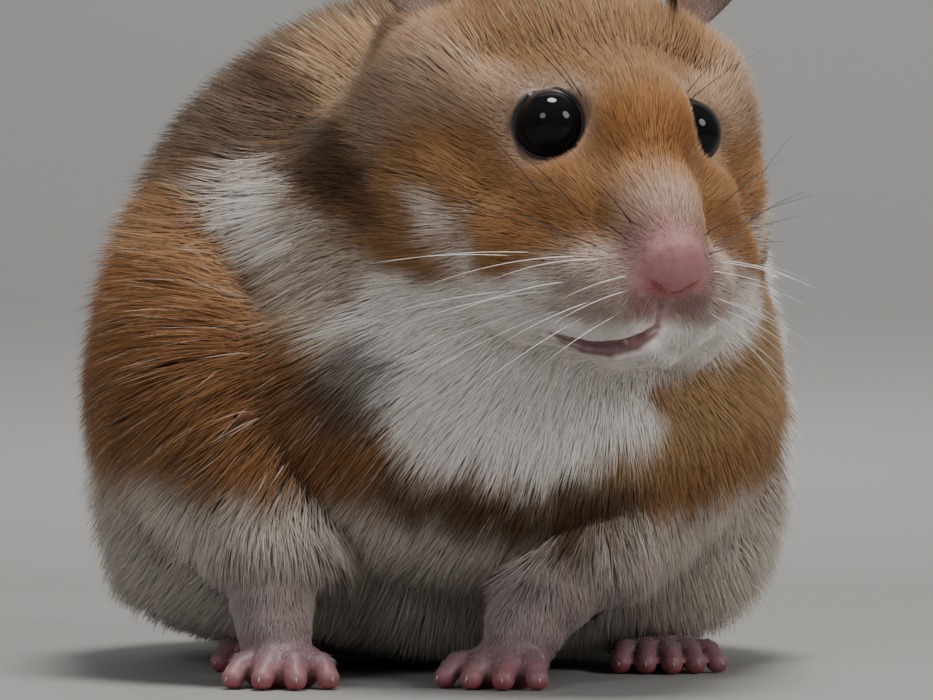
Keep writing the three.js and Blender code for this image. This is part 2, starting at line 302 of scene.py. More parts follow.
# %% Trunk
TRUNK_X = -3.0
TRUNK_SHAPES = [
    ((TRUNK_X, 39, 32), (37.6, 34, 41)),  # back
    ((TRUNK_X, 41, 24), (37.7, 37, 26)),  # belly and flanks
    ((3, 15, 42), (25, 17, 22)),  # shoulders and nape
    ((1, 7, 27), (20, 11, 17)),  # chest
    ((TRUNK_X - 19, 14, 27), (13, 13, 14)),  # right shoulder
    ((TRUNK_X + 19, 14, 26), (13, 13, 13)),  # left shoulder
    ((TRUNK_X - 24, 23, 31), (11, 15, 18)),  # right ribs
    ((TRUNK_X + 24, 23, 31), (11, 15, 18)),  # left ribs
    ((TRUNK_X - 18.5, 40, 15), (17, 24, 17)),  # right haunch
    ((TRUNK_X + 18.5, 38, 15), (17, 22, 17)),  # left haunch
    ((TRUNK_X, 68, 17), (17, 12, 17)),  # rump
]
TRUNK_BLEND = 7
SETTLED = -0.4
FLOOR_ROUNDING = 11


def trunk_field(p):
    return smooth_max(blended(p, TRUNK_SHAPES, TRUNK_BLEND), SETTLED - p[:, 2], FLOOR_ROUNDING)


print("shapes in the trunk:", len(TRUNK_SHAPES))

# %% [markdown]
# ## The head
#
# The head is a wide wedge: a round skull, full cheek pouches that join the neck, two whisker pads and a
# small blunt nose. Nearly every mass comes in pairs, so a pair is one line of the list and its mirror
# image comes by itself. The nose pad is blended more tightly than the rest, because its edge shows on the
# real animal.

# %% Head
def pair(centre, radii, lean=0.0):
    """An ellipsoid and its mirror image in the head's middle plane."""
    x, y, z = centre
    return [((x, y, z), radii, lean), ((-x, y, z), radii, lean)]


NOSE_TIP = np.array([0.0, -14.5, -10.6])
HEAD_SHAPES = [
    ((0, 11.5, -1), (13.5, 13, 12.5)),  # skull
    ((0, 1.5, 0.3), (7.4, 9, 6.6)),  # brow
    ((0, -6, -5.6), (5.4, 9, 5), 0.6),  # bridge of the muzzle
    *pair((12.8, 10, 0), (7, 9, 8)),  # temples
    ((0, 12, 3), (16, 8.5, 9)),  # crown, broad between the ears
    *pair((4.4, -7.6, -13), (4.6, 5.8, 4.5)),  # whisker pads
    *pair((9, -1, -12.5), (6.2, 7.8, 7)),  # front of the cheeks
    *pair((6.8, -2.6, -6.4), (4.4, 5.2, 4.6)),  # under the eyes
    *pair((12.6, 8, -9), (7.6, 9.5, 10)),  # cheek pouches
    *pair((12.2, 16, -4), (8, 10, 11)),  # sides of the neck
    ((0, -5.8, -17.4), (7, 5.6, 4)),  # chin
    ((0, 5, -14), (13, 10, 8)),  # throat
]
HEAD_BLEND = 3.6
NOSE_BLEND = 1.6
NECK_BLEND = 8
NOSE_PAD = ((0, NOSE_TIP[1] + 2.4, NOSE_TIP[2] + 0.6), (2.9, 2.6, 2.7))


def head_field(q):
    """The head without its fine features, in its own frame."""
    return smooth_min(blended(q, HEAD_SHAPES, HEAD_BLEND), ellipsoid(q, *NOSE_PAD), NOSE_BLEND)


print("shapes in the head:", len(HEAD_SHAPES))


# %% [markdown]
# ## How deep the coat is
#
# A hamster's coat is about 5 mm deep on the body and thins towards the nose, where it is a mere velvet.
# The depth is worked out from the distance to the nose, and it drops to almost nothing round the eyes.
# The skin lies that far inside the outline, and later the same number sets how long the hairs are and how
# high they stand.

# %% Coat depth
BODY_DEPTH = 5.0
EYE_RADIUS = 3.3
EYE_HALF_SPAN = 7.3
EYES = {side: np.array([side * EYE_HALF_SPAN, 0.0, 0.0]) for side in (1, -1)}
EAR_PLACE = (14.7, 15, 7.6)
EAR_ROOTS = [np.array(EAR_PLACE) * (side, 1, 1) for side in (1, -1)]
LIPS = [(0, -11.5, -17), (3.5, -10.3, -19), (7, -7.8, -19.6), (9.5, -5, -19.2)]


def coat_depth(p):
    """Depth of the coat over the trunk and head, in millimetres."""
    q = in_head(p)
    from_nose = np.linalg.norm(q - NOSE_TIP, axis=1)
    stops = [2.6, 5, 10, 18, 27, 36, 46]
    depths = [0.0, 0.45, 0.9, 1.6, 2.4, 3.4, BODY_DEPTH]
    depth = np.interp(from_nose, stops, depths)
    from_eye = np.minimum(*(np.linalg.norm(q - eye, axis=1) for eye in EYES.values()))
    depth = depth * (0.12 + 0.88 * fade(from_eye, EYE_RADIUS + 0.3, EYE_RADIUS + 5.5))
    near_lips = np.linalg.norm(q - LIPS[1], axis=1) < 20
    from_lips = rod_chain(q[near_lips] * (-1, 1, 1), LIPS, [0, 0, 0, 0], 1.0)
    from_lips = np.minimum(from_lips, rod_chain(q[near_lips], LIPS, [0, 0, 0, 0], 1.0))
    depth[near_lips] *= 0.4 + 0.6 * fade(from_lips, 1.2, 4.5)
    low_down = 1 - fade(p[:, 2], 2, 16)
    depth = depth * (1 - 0.55 * low_down)
    from_ear = np.minimum(*(np.linalg.norm(q - root, axis=1) for root in EAR_ROOTS))
    return depth * (0.4 + 0.6 * fade(from_ear, 3, 11))


back_of_trunk = np.array([[TRUNK_X, 39.0, 73.0]])
print("coat on the back:", round(float(coat_depth(back_of_trunk)[0]), 2), "mm")


# %% [markdown]
# ## Legs and feet
#
# Only the lower legs and the feet stand clear of the coat. Each is a chain of rods: the leg down to the
# wrist or heel, a flat sole, and a fan of toes that arch over a knuckle and end in a round tip on the
# floor. The rods of neighbouring toes barely blend, which leaves the creases between them.

# %% Limbs
LIMBS = {
    "front_right": {
        "at": (-17.4, 0.5), "turn": -0.06, "toes": (4, 0.5, 3.2, -0.8, 3.4), "hind": False,
        "line": [(-17.9, 2, 1.8), (-18.5, 3, 5.5), (-18.8, 4.6, 9), (-19, 7, 14), (-20, 12, 22)],
        "radii": [2.9, 3.0, 3.1, 4.8, 8.0],
    },
    "front_left": {
        "at": (3.0, 0.5), "turn": -0.3, "toes": (4, 0.5, 3.2, -0.8, 3.4), "hind": False,
        "line": [(4.2, 2, 1.8), (5.6, 2.8, 5.2), (8.4, 4.2, 8.8), (12, 7, 13), (16, 12, 21)],
        "radii": [2.9, 3.2, 3.4, 4.9, 8.0],
    },
    "hind_right": {
        "at": (-19.6, 25), "turn": -0.1, "toes": (5, 0.38, 3.7, -3.2, 3.9), "hind": True,
        "line": [(-19.8, 34, 2.4), (-20.5, 36, 6), (-21.5, 38, 10), (-24, 41, 16)],
        "radii": [2.8, 3.4, 5, 8],
    },
    "hind_left": {
        "at": (20.0, 24), "turn": 0.1, "toes": (5, 0.38, 3.7, -3.2, 3.9), "hind": True,
        "line": [(19.6, 33, 2.4), (19.8, 35, 6), (20, 37, 10), (20, 40, 16)],
        "radii": [2.8, 3.4, 5, 8],
    },
}


def fan(count, spread, width, base, length):
    """Root, length and angle of each toe of a foot, from its outside to its inside."""
    toes = []
    for i in range(count):
        across = 2 * i / (count - 1) - 1
        toes.append({
            "x": across * width,
            "base": base + abs(across) * 0.9,
            "length": length - abs(across) * 0.5,
            "angle": across * spread,
        })
    return toes


def toe_point(toe, reach, height):
    """A point above a toe's line, `reach` in front of its root, in the foot's frame."""
    return np.array([
        toe["x"] + reach * math.sin(toe["angle"]),
        toe["base"] - reach * math.cos(toe["angle"]),
        height,
    ])


def in_foot(p, limb):
    """Points of the animal's frame, read in a foot's frame."""
    return (p - np.array([*limb["at"], 0])) @ turned_about_z(limb["turn"])


def from_foot(q, limb):
    return np.asarray(q, float) @ turned_about_z(limb["turn"]).T + np.array([*limb["at"], 0])


# %% [markdown]
# ## Feet and legs as forms
#
# A foot could be modelled from a cube with extruded toes, but then the soft webs between the toes are
# hard to get. Here the sole and the toes are rods and balls that are rubbed together, the toes only
# slightly, so that the creases stay, and all of it is cut flat at the floor.

# %% Feet and legs as forms
TOE_BLEND = 0.35
SOLE_BLEND = 1.1


def foot_field(p, limb):
    """One foot with its toes, flat where it stands on the floor."""
    q = in_foot(p, limb)
    if limb["hind"]:
        heel = ellipsoid(q, (0, 7, 1.9), (2.9, 6, 2.3))
        sole = smooth_min(ellipsoid(q, (0, 0, 1.7), (4.0, 4.6, 1.9)), heel, 1.5)
    else:
        sole = ellipsoid(q, (0, 1.0, 1.8), (3.9, 3.7, 2.1))
    toes = None
    for toe in fan(*limb["toes"]):
        root = toe_point(toe, -1.6, 2.1)
        knuckle = toe_point(toe, toe["length"] * 0.42, 2.25)
        tip = toe_point(toe, toe["length"] - 0.15, 1.05)
        waist = toe_point(toe, toe["length"] * 0.72, 1.75)
        rod = rod_chain(q, [root, knuckle, waist, tip], [1.0, 1.14, 0.96, 1.1], 0.25)
        toes = rod if toes is None else smooth_min(toes, rod, TOE_BLEND)
    foot = smooth_min(sole, toes, SOLE_BLEND)
    return smooth_max(foot, 0.03 - q[:, 2], 0.3)


def limbs_field(p):
    total = np.full(len(p), 1e3)
    for limb in LIMBS.values():
        leg = rod_chain(p, limb["line"], limb["radii"], 1.5)
        leg = smooth_max(leg, 0.03 - p[:, 2], 0.3)
        total = np.minimum(total, smooth_min(leg, foot_field(p, limb), 1.4))
    return total


print("toes:", sum(limb["toes"][0] for limb in LIMBS.values()))

# %% [markdown]
# ## Tail and ears
#
# The tail is a short bare stub, one chain of tapering rods. An ear is harder, because it is a thin sheet:
# it could be a flat disc bent with a modifier, but here it is the gap between two sides of a curved
# plate, trimmed by a round outline, so that it melts into the head on a short stalk without any seam.

# %% Tail and ears
TAIL_LINE = [(TRUNK_X, 66, 9.5), (TRUNK_X, 76, 7.2), (TRUNK_X, 82.6, 5)]
TAIL_RADII = [3.4, 2.5, 1.0]
EAR_HEIGHT = 15.5
EAR_WIDTH = 14.5
EAR_SKIN = 0.8


def ear_frame(side):
    return turned_about_y(side * 0.12) @ turned_about_z(side * 0.5) @ turned_about_x(-0.25)


def in_ear(q, side):
    """Points of the head's frame, read in an ear's frame: Z up the ear, -Y into its cup."""
    return (q - np.array([side * EAR_PLACE[0], *EAR_PLACE[1:]])) @ ear_frame(side)


def ear_outline(e):
    """How far a point lies outside the ear's rim, in millimetres, and its height from 0 to 1."""
    height = np.clip(e[:, 2] / EAR_HEIGHT, 0, 1)
    half = EAR_WIDTH / 2 * (0.6 + 0.4 * np.sin(np.pi * np.minimum(height * 0.9, 1)))
    radius = np.sqrt((e[:, 0] / half) ** 2 + (e[:, 2] / EAR_HEIGHT * 2 - 1) ** 2)
    return (radius - 1) * EAR_WIDTH / 2, height


def ear_field(q, side):
    """A thin cup with a round rim, standing on a short stalk."""
    e = in_ear(q, side)
    rim, height = ear_outline(e)
    cup = 0.55 * (2.4 * np.sin(np.pi * height) - 0.16 * e[:, 0] ** 2)
    slope = np.sqrt(1 + (0.176 * e[:, 0]) ** 2)
    plate = np.abs(e[:, 1] - cup) / slope - EAR_SKIN / 2
    shell = smooth_max(plate, rim + 0.1, 0.45)
    stalk = ellipsoid(e, (0, 0.8, -2.4), (2.8, 2.0, 3.8))
    return smooth_min(shell, stalk, 1.6)


print("ears:", EAR_HEIGHT, "mm high,", EAR_WIDTH, "mm wide")


# %% [markdown]
# ## Fine features of the head
#
# The face is read by its edges: the lid round each bulging eye, the slit nostrils that meet in the groove
# of the upper lip, the mouth that runs back under the whisker pads, and a small lower lip. They are rods
# and rings that are rubbed into the head or taken out of it. Each line is first laid onto the skin, so it
# keeps its depth.

# %% Lines of the face
def slope_of(field, p, step=0.02):
    """Value of a field at some points and how fast it changes along each axis."""
    value = field(p)
    slope = np.empty_like(p)
    for axis in range(3):
        moved = p.copy()
        moved[:, axis] += step
        slope[:, axis] = (field(moved) - value) / step
    return value, slope


def laid_on(field, points, depth=0.0, rounds=6):
    """Points moved onto the surface of a field, or `depth` under it."""
    p = np.array(points, float)
    for _ in range(rounds):
        value, slope = slope_of(field, p)
        p -= ((value + depth) / (slope * slope).sum(1))[:, None] * slope
    return p


def head_skin(q):
    """The head's skin without its fine features, in the head's own frame."""
    return head_field(q) + coat_depth(from_head(q))


def mirrored(points, side):
    return np.array(points, float) * np.array([side, 1, 1])


# %% [markdown]
# ## Nostrils, mouth and lips
#
# Each line is a few points with a radius at every point, measured on the right half of the head. The
# right side of the mouth shows from its middle to its corner. On the left only its outer end shows,
# because the whisker pad covers the rest.

# %% Nostrils, mouth and lips
NOSTRIL = [(2.3, -13.7, -11.8), (1.65, -13.7, -12.3), (1.0, -13.5, -12.75), (0.3, -13.2, -13.15)]
NOSTRIL_RADII = [0.08, 0.24, 0.2, 0.06]
PHILTRUM = [(0, -13.6, -13.0), (0, -12.9, -14.8), (0, -12.3, -16.9)]
PHILTRUM_RADII = [0.1, 0.1, 0.12]
MOUTH = [(0, -11.65, -16.4), (1.7, -11.3, -17.6), (3.8, -10.2, -18.5), (5.75, -8.3, -18.8),
         (7.6, -6.0, -18.3)]
LIP = [(0, -11.5, -17.0), (1.6, -11.0, -18.2), (3.5, -9.6, -19.2), (5.2, -7.7, -19.4), (6.8, -6.0, -19.0)]
MOUTH_RADII = {-1: [0.12, 0.26, 0.4, 0.42, 0.2], 1: [0.05, 0.2]}
LIP_RADII = {-1: [0.05, 0.3, 0.36, 0.32, 0.1], 1: [0.05, 0.15]}
LOWER_LIP = [(0, -11.2, -18.9), (2.6, -9.9, -19.9), (5.2, -7.9, -20.3)]
LOWER_LIP_RADII = [0.75, 0.7, 0.45]

nostril_line = laid_on(head_skin, NOSTRIL, 0.12)
philtrum_line = laid_on(head_skin, PHILTRUM, 0.0)
mouth_points = laid_on(head_skin, MOUTH, 0.05)
lip_points = laid_on(head_skin, LIP, 0.05)
lower_lip_line = laid_on(head_skin, LOWER_LIP, 0.35)


def side_line(points, side):
    """A line of the mouth on one side; on the left its middle is closed and hidden in the fur."""
    return mirrored(points if side < 0 else points[3:], side)


mouth_line = {side: side_line(mouth_points, side) for side in (1, -1)}
lip_line = {side: side_line(lip_points, side) for side in (1, -1)}

# %% [markdown]
# ## Lids
#
# The lid is a thin dark ring that hugs the ball of the eye where the opening ends. The opening is a cone
# that looks out, up and forward along its own axis, and no skin may stand in it. Then all the lines are
# worked into the head: added where they stand out, taken away where they cut in.

# %% Lids, and all features together
LID_AXIS = np.array([0.62, -0.73, 0.29])
LID_OPENING = math.radians(76)
LID_THICKNESS = 0.2
RING_OUT = (EYE_RADIUS + 0.08) * math.sin(LID_OPENING)
RING_ALONG = (EYE_RADIUS + 0.08) * math.cos(LID_OPENING)
LID_FLARE = 0.8


def about_eye(q, side):
    """How far points lie along an eye's axis, and out from it."""
    axis = LID_AXIS * np.array([side, 1, 1]) / np.linalg.norm(LID_AXIS)
    away = q - EYES[side]
    along = away @ axis
    return along, np.sqrt(np.maximum((away * away).sum(1) - along ** 2, 0))


def lid_ring(q, side):
    """Distance to the lid, a ring that hugs the eyeball round its opening."""
    along, out = about_eye(q, side)
    return np.sqrt((out - RING_OUT) ** 2 + (along - RING_ALONG) ** 2) - LID_THICKNESS


def lid_opening(q, side):
    """Below zero in the flared space in front of the lid, which is kept free of skin."""
    along, out = about_eye(q, side)
    return np.maximum(out - RING_OUT - LID_FLARE * (along - RING_ALONG), RING_ALONG - along)


def with_features(q, value):
    """The head's field with lips, nostrils, mouth and lids worked in."""
    close = np.linalg.norm(q - np.array([0, -6, -9]), axis=1) < 17
    face, near = value[close], q[close]
    for side in (1, -1):
        lip = rod_chain(near, mirrored(lower_lip_line, side), LOWER_LIP_RADII, 0.5)
        face = smooth_min(face, lip, 0.7)
    for side in (1, -1):
        mouth = rod_chain(near, mouth_line[side], MOUTH_RADII[side], 0.3)
        nostril = rod_chain(near, mirrored(nostril_line, side), NOSTRIL_RADII, 0.2)
        face = smooth_max(face, -mouth, 0.45)
        face = smooth_max(face, -nostril, 0.3)
        eye = np.linalg.norm(near - EYES[side], axis=1) - EYE_RADIUS - 0.05
        face = smooth_max(face, -lid_opening(near, side), 0.5)
        face = smooth_min(face, lid_ring(near, side), 0.45)
        face = smooth_max(face, -eye, 0.15)
    philtrum = rod_chain(near, philtrum_line, PHILTRUM_RADII, 0.3)
    value = value.copy()
    value[close] = smooth_max(face, -philtrum, 0.4)
    return value


mouth_length = np.linalg.norm(np.diff(mouth_points, axis=0), axis=1).sum()
print("mouth from the middle to its corner:", round(mouth_length, 1), "mm")

# %% [markdown]
# ## All of the skin as one field
#
# The parts are now joined in one function that is zero on the skin. The trunk and head lie inside the
# outline by the depth of the coat, and limbs, tail and ears are rubbed into them with a small rounding.
# Each of these is only worked out inside a box round it, which saves most of the time.

# %% The whole skin as one field
def near_box(p, low, high):
    return np.all((p > np.array(low)) & (p < np.array(high)), axis=1)


def body_skin_field(p):
    """The skin of the trunk and head alone."""
    return smooth_min(trunk_field(p), head_field(in_head(p)), NECK_BLEND) + coat_depth(p)


def skin_field(p):
    """Zero on the skin, below zero inside the animal."""
    q = in_head(p)
    body = with_features(q, body_skin_field(p))
    low = p[:, 2] < 30
    body[low] = smooth_min(body[low], limbs_field(p[low]), 1.6)
    tail = near_box(p, (-12, 58, 0), (6, 90, 18))
    body[tail] = smooth_min(body[tail], rod_chain(p[tail], TAIL_LINE, TAIL_RADII, 1.0), 1.5)
    for side in (1, -1):
        place = np.array(EAR_PLACE) * (side, 1, 1)
        ear = near_box(q, place - 17, place + (17, 17, 22))
        body[ear] = smooth_min(body[ear], ear_field(q[ear], side), 1.8)
    return body


print("skin below the outline on the back:", round(float(skin_field(back_of_trunk)[0]), 2), "mm")


# %% [markdown]
# ## The skin
#
# The flesh solids are copied, their seams closed by growing them a little, and wrapped in one even mesh.
# The mesh is then drawn down onto the field in steps, as a moulder presses leather over a form, and it is
# divided finer where the face and the feet need it. The result replaces every flesh node with one skin
# without seams.

# %% Wraps
FLESH = [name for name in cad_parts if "claw" not in name and "eye" not in name]
SEAM_CLOSING = 0.25
EAR_GROWTH = 0.75
FIRST_WRAP = 1.2
WRAP_SIZE = 0.67
print("flesh solids to wrap:", len(FLESH))


def mesh_arrays(mesh):
    """Vertices of a mesh in the animal's frame, and its edges."""
    points = np.empty(len(mesh.vertices) * 3)
    mesh.vertices.foreach_get("co", points)
    edges = np.empty(len(mesh.edges) * 2, int)
    mesh.edges.foreach_get("vertices", edges)
    return points.reshape(-1, 3) / MM - SHIFT, edges.reshape(-1, 2)


def put_points(mesh, points):
    mesh.vertices.foreach_set("co", metres(points).ravel())
    mesh.update()


def add_solids(bm, names, growth=SEAM_CLOSING):
    """Copies of the frame's solids, merged and grown a little so that their seams close."""
    part = bmesh.new()
    for name in names:
        part.from_mesh(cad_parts[name].data)
    bmesh.ops.remove_doubles(part, verts=part.verts, dist=1e-6)
    part.normal_update()
    for vert in part.verts:
        vert.co += vert.normal * growth * MM
    mesh = bpy.data.meshes.new("solids")
    part.to_mesh(mesh)
    part.free()
    bm.from_mesh(mesh)
    bpy.data.meshes.remove(mesh)


def wrapped(name, bm, size):
    """A new object: one closed, even mesh round everything in bm."""
    mesh = bpy.data.meshes.new(name)
    bm.to_mesh(mesh)
    bm.free()
    obj = linked(name, mesh)
    wrap = obj.modifiers.new("wrap", "REMESH")
    wrap.mode = "VOXEL"
    wrap.voxel_size = size * MM
    evaluated = obj.evaluated_get(bpy.context.evaluated_depsgraph_get())
    even = bpy.data.meshes.new_from_object(evaluated)
    obj.modifiers.clear()
    obj.data = even
    even.name = name
    return obj

# %% [markdown]
# ## Drawing a wrap onto a form
#
# A Shrinkwrap modifier pulls a mesh onto another mesh. A field has no mesh, so the points walk to it
# instead: the slope of the field says which way is out, its value says how far. Between two steps the
# points are eased towards the middle of their neighbours, or they would crowd together in the hollows.

# %% Drawing a wrap onto a form
def eased(points, edges, amount):
    """Each point moved part of the way to the middle of its neighbours."""
    count = np.bincount(edges.ravel(), minlength=len(points))
    middle = np.empty_like(points)
    for axis in range(3):
        total = np.bincount(edges[:, 0], points[edges[:, 1], axis], len(points))
        total += np.bincount(edges[:, 1], points[edges[:, 0], axis], len(points))
        middle[:, axis] = total / np.maximum(count, 1)
    return points + amount * (middle - points)


def drawn_onto(points, edges, field, rounds, ease, free, reach=2.5):
    """Points drawn onto a field's surface; the free ones also stay evenly spread."""
    for _ in range(rounds):
        if ease:
            points = np.where(free[:, None], eased(points, edges, ease), points)
        value, slope = slope_of(field, points)
        step = value / np.maximum((slope * slope).sum(1), 0.25)
        points = points - np.clip(step, -reach, reach)[:, None] * slope
    return points


def divided(mesh, chosen):
    """The mesh with the chosen faces cut into four."""
    bm = bmesh.new()
    bm.from_mesh(mesh)
    bm.faces.ensure_lookup_table()
    edges = {edge for index in np.flatnonzero(chosen) for edge in bm.faces[index].edges}
    bmesh.ops.subdivide_edges(bm, edges=list(edges), cuts=1, use_grid_fill=True)
    bmesh.ops.triangulate(bm, faces=[face for face in bm.faces if len(face.verts) > 4])
    bm.to_mesh(mesh)
    bm.free()


def face_middles(mesh):
    middles = np.empty(len(mesh.polygons) * 3)
    mesh.polygons.foreach_get("center", middles)
    return middles.reshape(-1, 3) / MM - SHIFT


def draw(obj, field, rounds, ease, part=None):
    """An object's points drawn onto a field, or only those of one part of it."""
    points, edges = mesh_arrays(obj.data)
    chosen = np.ones(len(points), bool) if part is None else part(points)
    number = np.cumsum(chosen) - 1
    inner = chosen[edges].all(1)
    free = chosen.copy()
    free[edges[chosen[edges].any(1) & ~inner].ravel()] = False
    points[chosen] = drawn_onto(points[chosen], number[edges[inner]], field, rounds, ease, free[chosen])
    put_points(obj.data, points)

# %% [markdown]
# ## Body first, then what grows from it
#
# The solids are too plain to be wrapped with legs and ears in one go, since thin parts would be lost in
# the coarse mesh. So the trunk and head are wrapped and drawn first. Then the limbs and tail are added as
# rods and balls near their final place, and the ears as solids grown thick enough for the mesh to catch,
# and the whole is wrapped again with a finer mesh. Drawing it onto the form makes the ears thin again.

# %% First the trunk and head, then everything that grows from them
def add_ball(bm, centre, radius):
    place = Matrix.Translation(Vector(metres(centre)))
    bmesh.ops.create_icosphere(bm, subdivisions=3, radius=radius * MM, matrix=place)


def add_rod(bm, a, b, radius_a, radius_b):
    """A tapered rod with a ball at each end."""
    a, b = np.array(a, float), np.array(b, float)
    turn = Vector(b - a).to_track_quat("Z", "Y").to_matrix().to_4x4()
    place = Matrix.Translation(Vector(metres((a + b) / 2))) @ turn
    bmesh.ops.create_cone(
        bm, cap_ends=True, segments=24, radius1=radius_a * MM, radius2=radius_b * MM,
        depth=np.linalg.norm(b - a) * MM, matrix=place)
    add_ball(bm, a, radius_a)
    add_ball(bm, b, radius_b)


def add_chain(bm, points, radii):
    for a, b, ra, rb in zip(points, points[1:], radii, radii[1:]):
        add_rod(bm, a, b, ra, rb)


def add_limb(bm, limb):
    add_chain(bm, limb["line"], limb["radii"])
    for centre, radius in [((0, 0, 2), 2.2), ((0, 2, 2), 2.2)]:
        add_ball(bm, from_foot(centre, limb), radius)
    for toe in fan(*limb["toes"]):
        line = [toe_point(toe, -1.6, 2.1), toe_point(toe, toe["length"], 1.3)]
        add_chain(bm, [from_foot(point, limb) for point in line], [0.9, 0.9])
    if limb["hind"]:
        add_rod(bm, from_foot((0, 0, 2), limb), from_foot((0, 9, 2), limb), 2.2, 2.0)


first = bmesh.new()
add_solids(first, ["trunk", "head", "nose"] + [name for name in FLESH if "leg" in name])
body = wrapped("body_form", first, FIRST_WRAP)
draw(body, body_skin_field, 6, 0.5)

whole = bmesh.new()
whole.from_mesh(body.data)
add_solids(whole, ["ear_left", "ear_right"], EAR_GROWTH)
for side in (1, -1):
    ear_root = np.array(EAR_PLACE) * (side, 1, 1) + ear_frame(side) @ (0, 0.6, 1.5)
    add_rod(whole, from_head(ear_root), from_head(ear_root * (0.86, 1, 0.5)), 2.2, 3.5)
for limb in LIMBS.values():
    add_limb(whole, limb)
add_chain(whole, TAIL_LINE, TAIL_RADII)
skin = wrapped("skin", whole, WRAP_SIZE)
bpy.data.objects.remove(body)
print("wrapped:", len(skin.data.vertices), "vertices")

# %% [markdown]
# ## Finer where it matters
#
# A nostril is half a millimetre wide and the back is flat for centimetres, so one mesh size can't serve
# both. Each face near the muzzle, lids and feet is cut into four, and those at the nostrils and lip edges
# once or twice more. After each cut the new points are drawn onto the form again.

# %% Finer where the face and feet need it
def fine_regions(p):
    """Faces that need the finer mesh: muzzle, lids and feet."""
    q = in_head(p)
    muzzle = np.linalg.norm(q - np.array([0, -10.5, -14]), axis=1) < 8.5
    lids = np.minimum(*(np.linalg.norm(q - eye, axis=1) for eye in EYES.values())) < EYE_RADIUS + 1.6
    feet = (p[:, 2] < 6) & (limbs_field(p) < 0.6)
    return muzzle | lids | feet


def nostril_region(p):
    return np.linalg.norm(in_head(p) - np.array([0, -13.5, -12.3]), axis=1) < 3.2


def finest_regions(p):
    """Faces round the nostrils, lips and lid edges."""
    q = in_head(p)
    nose = np.linalg.norm(q - np.array([0, -13, -12]), axis=1) < 4.5
    line = np.minimum(*(rod_chain(q, mouth_line[s], MOUTH_RADII[s], 0.3) for s in (1, -1)))
    rings = np.minimum(*(lid_ring(q, s) for s in (1, -1)))
    return nose | (line < 0.9) | (rings < 0.5)


draw(skin, skin_field, 4, 0.3)
divided(skin.data, fine_regions(face_middles(skin.data)))
draw(skin, skin_field, 3, 0.3, fine_regions)
divided(skin.data, finest_regions(face_middles(skin.data)))
draw(skin, skin_field, 3, 0.3, finest_regions)
divided(skin.data, nostril_region(face_middles(skin.data)))
draw(skin, skin_field, 6, 0.4, nostril_region)
draw(skin, skin_field, 2, 0.1, fine_regions)
skin.data.shade_smooth()
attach(skin, "root")
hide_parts(*FLESH)
print("skin:", len(skin.data.vertices), "vertices,", len(skin.data.polygons), "faces")


# %% [markdown]
# ## Markings
#
# One set of rules paints both the skin and the coat. Each marking is a soft band laid along a line or
# round a spot, its edge broken by noise the way hairs of two colours interlock. The animal is a golden
# hamster with a white band: warm brown face, darker crescent behind the cheek, white shoulder and chest,
# orange flank, white belly. The far side has the same bands, a little paler, and a white girdle runs
# round the body.


# %% Noise
def noise(p, size, seed):
    """Smooth noise from -1 to 1 that changes over about `size` millimetres."""
    q = p / size + 100
    cell = np.floor(q).astype(np.int64)
    t = q - cell
    t = t * t * (3 - 2 * t)
    total = np.zeros(len(p))
    for corner in range(8):
        offset = np.array([corner & 1, corner >> 1 & 1, corner >> 2 & 1])
        x, y, z = (cell + offset).T
        mixed = x * 73856093 ^ y * 19349663 ^ z * 83492791 ^ seed * 2654435761
        mixed = (mixed ^ mixed >> 13) * 1274126177 & 0x7FFFFFFF
        weight = np.abs(1 - offset - t).prod(1)
        total += weight * ((mixed >> 8 & 0xFFFF) / 32767.5 - 1)
    return total


def noise_vectors(p, size, seed):
    return np.stack([noise(p, size, seed + axis) for axis in range(3)], 1)

# %% [markdown]
# ## The colours of the coat
#
# A golden hamster has hairs of few colours: white, cream, gold, brown, and grey at the root. What looks
# like many shades comes from how those lie over each other. A band follows a line of points and a spot is
# a ball, both with a broken edge, so that a marking never ends in a clean line.

# %% Colours of the coat
WHITE = (0.92, 0.855, 0.80)
CREAM = (0.66, 0.54, 0.43)
PALE_CREAM = (0.80, 0.69, 0.60)
TAN = (0.38, 0.235, 0.135)
FOREHEAD = (0.25, 0.14, 0.068)
EAR_BASE = (0.42, 0.265, 0.165)
EYE_PATCH = (0.40, 0.28, 0.20)
ORANGE = (0.33, 0.17, 0.075)
DEEP_ORANGE = (0.30, 0.135, 0.05)
GOLD = (0.42, 0.26, 0.13)
# gold of the near flank: partly its own deeper orange, partly painted shade
FLANK_GOLD_AND_SHADE = (0.23, 0.108, 0.046)
BROWN = (0.13, 0.075, 0.042)
CRESCENT = (0.105, 0.056, 0.028)
AGOUTI = (0.18, 0.125, 0.085)
NAPE = (0.27, 0.165, 0.095)
GREY_WHITE = (0.55, 0.485, 0.42)
MUZZLE = (0.42, 0.30, 0.235)
PALE_MUZZLE = (0.53, 0.41, 0.35)
MUZZLE_PINK = (0.42, 0.215, 0.2)
LEG_GREY = (0.40, 0.32, 0.30)
LIP_MAUVE = (0.36, 0.18, 0.19)
BLACK_TIP = (0.03, 0.022, 0.018)
SLATE = (0.23, 0.175, 0.14)
SHOULDER_GREY = (0.30, 0.24, 0.20)
# painted shade under the cheek ruff
PAINTED_SHADE_GREY = (0.17, 0.13, 0.10)


def band(p, points, radii, softness, wobble=1.0, size=2.5, seed=1):
    """1 within a band along a line of points, 0 outside, with a broken edge."""
    distance = rod_chain(p, points, radii, 2.0)
    distance = distance + wobble * (noise(p, size, seed) + 0.6 * noise(p, size / 2.7, seed + 5))
    return 1 - fade(distance, -softness, softness)


def spot(p, centre, radii, softness, wobble=1.0, size=2.5, seed=1):
    """1 within an ellipsoid, 0 outside, with a broken edge."""
    distance = ellipsoid(p, centre, radii)
    distance = distance + wobble * (noise(p, size, seed) + 0.6 * noise(p, size / 2.7, seed + 5))
    return 1 - fade(distance, -softness, softness)


def laid_over(below, mask, colour):
    return below + mask[:, None] * (np.array(colour) - below)


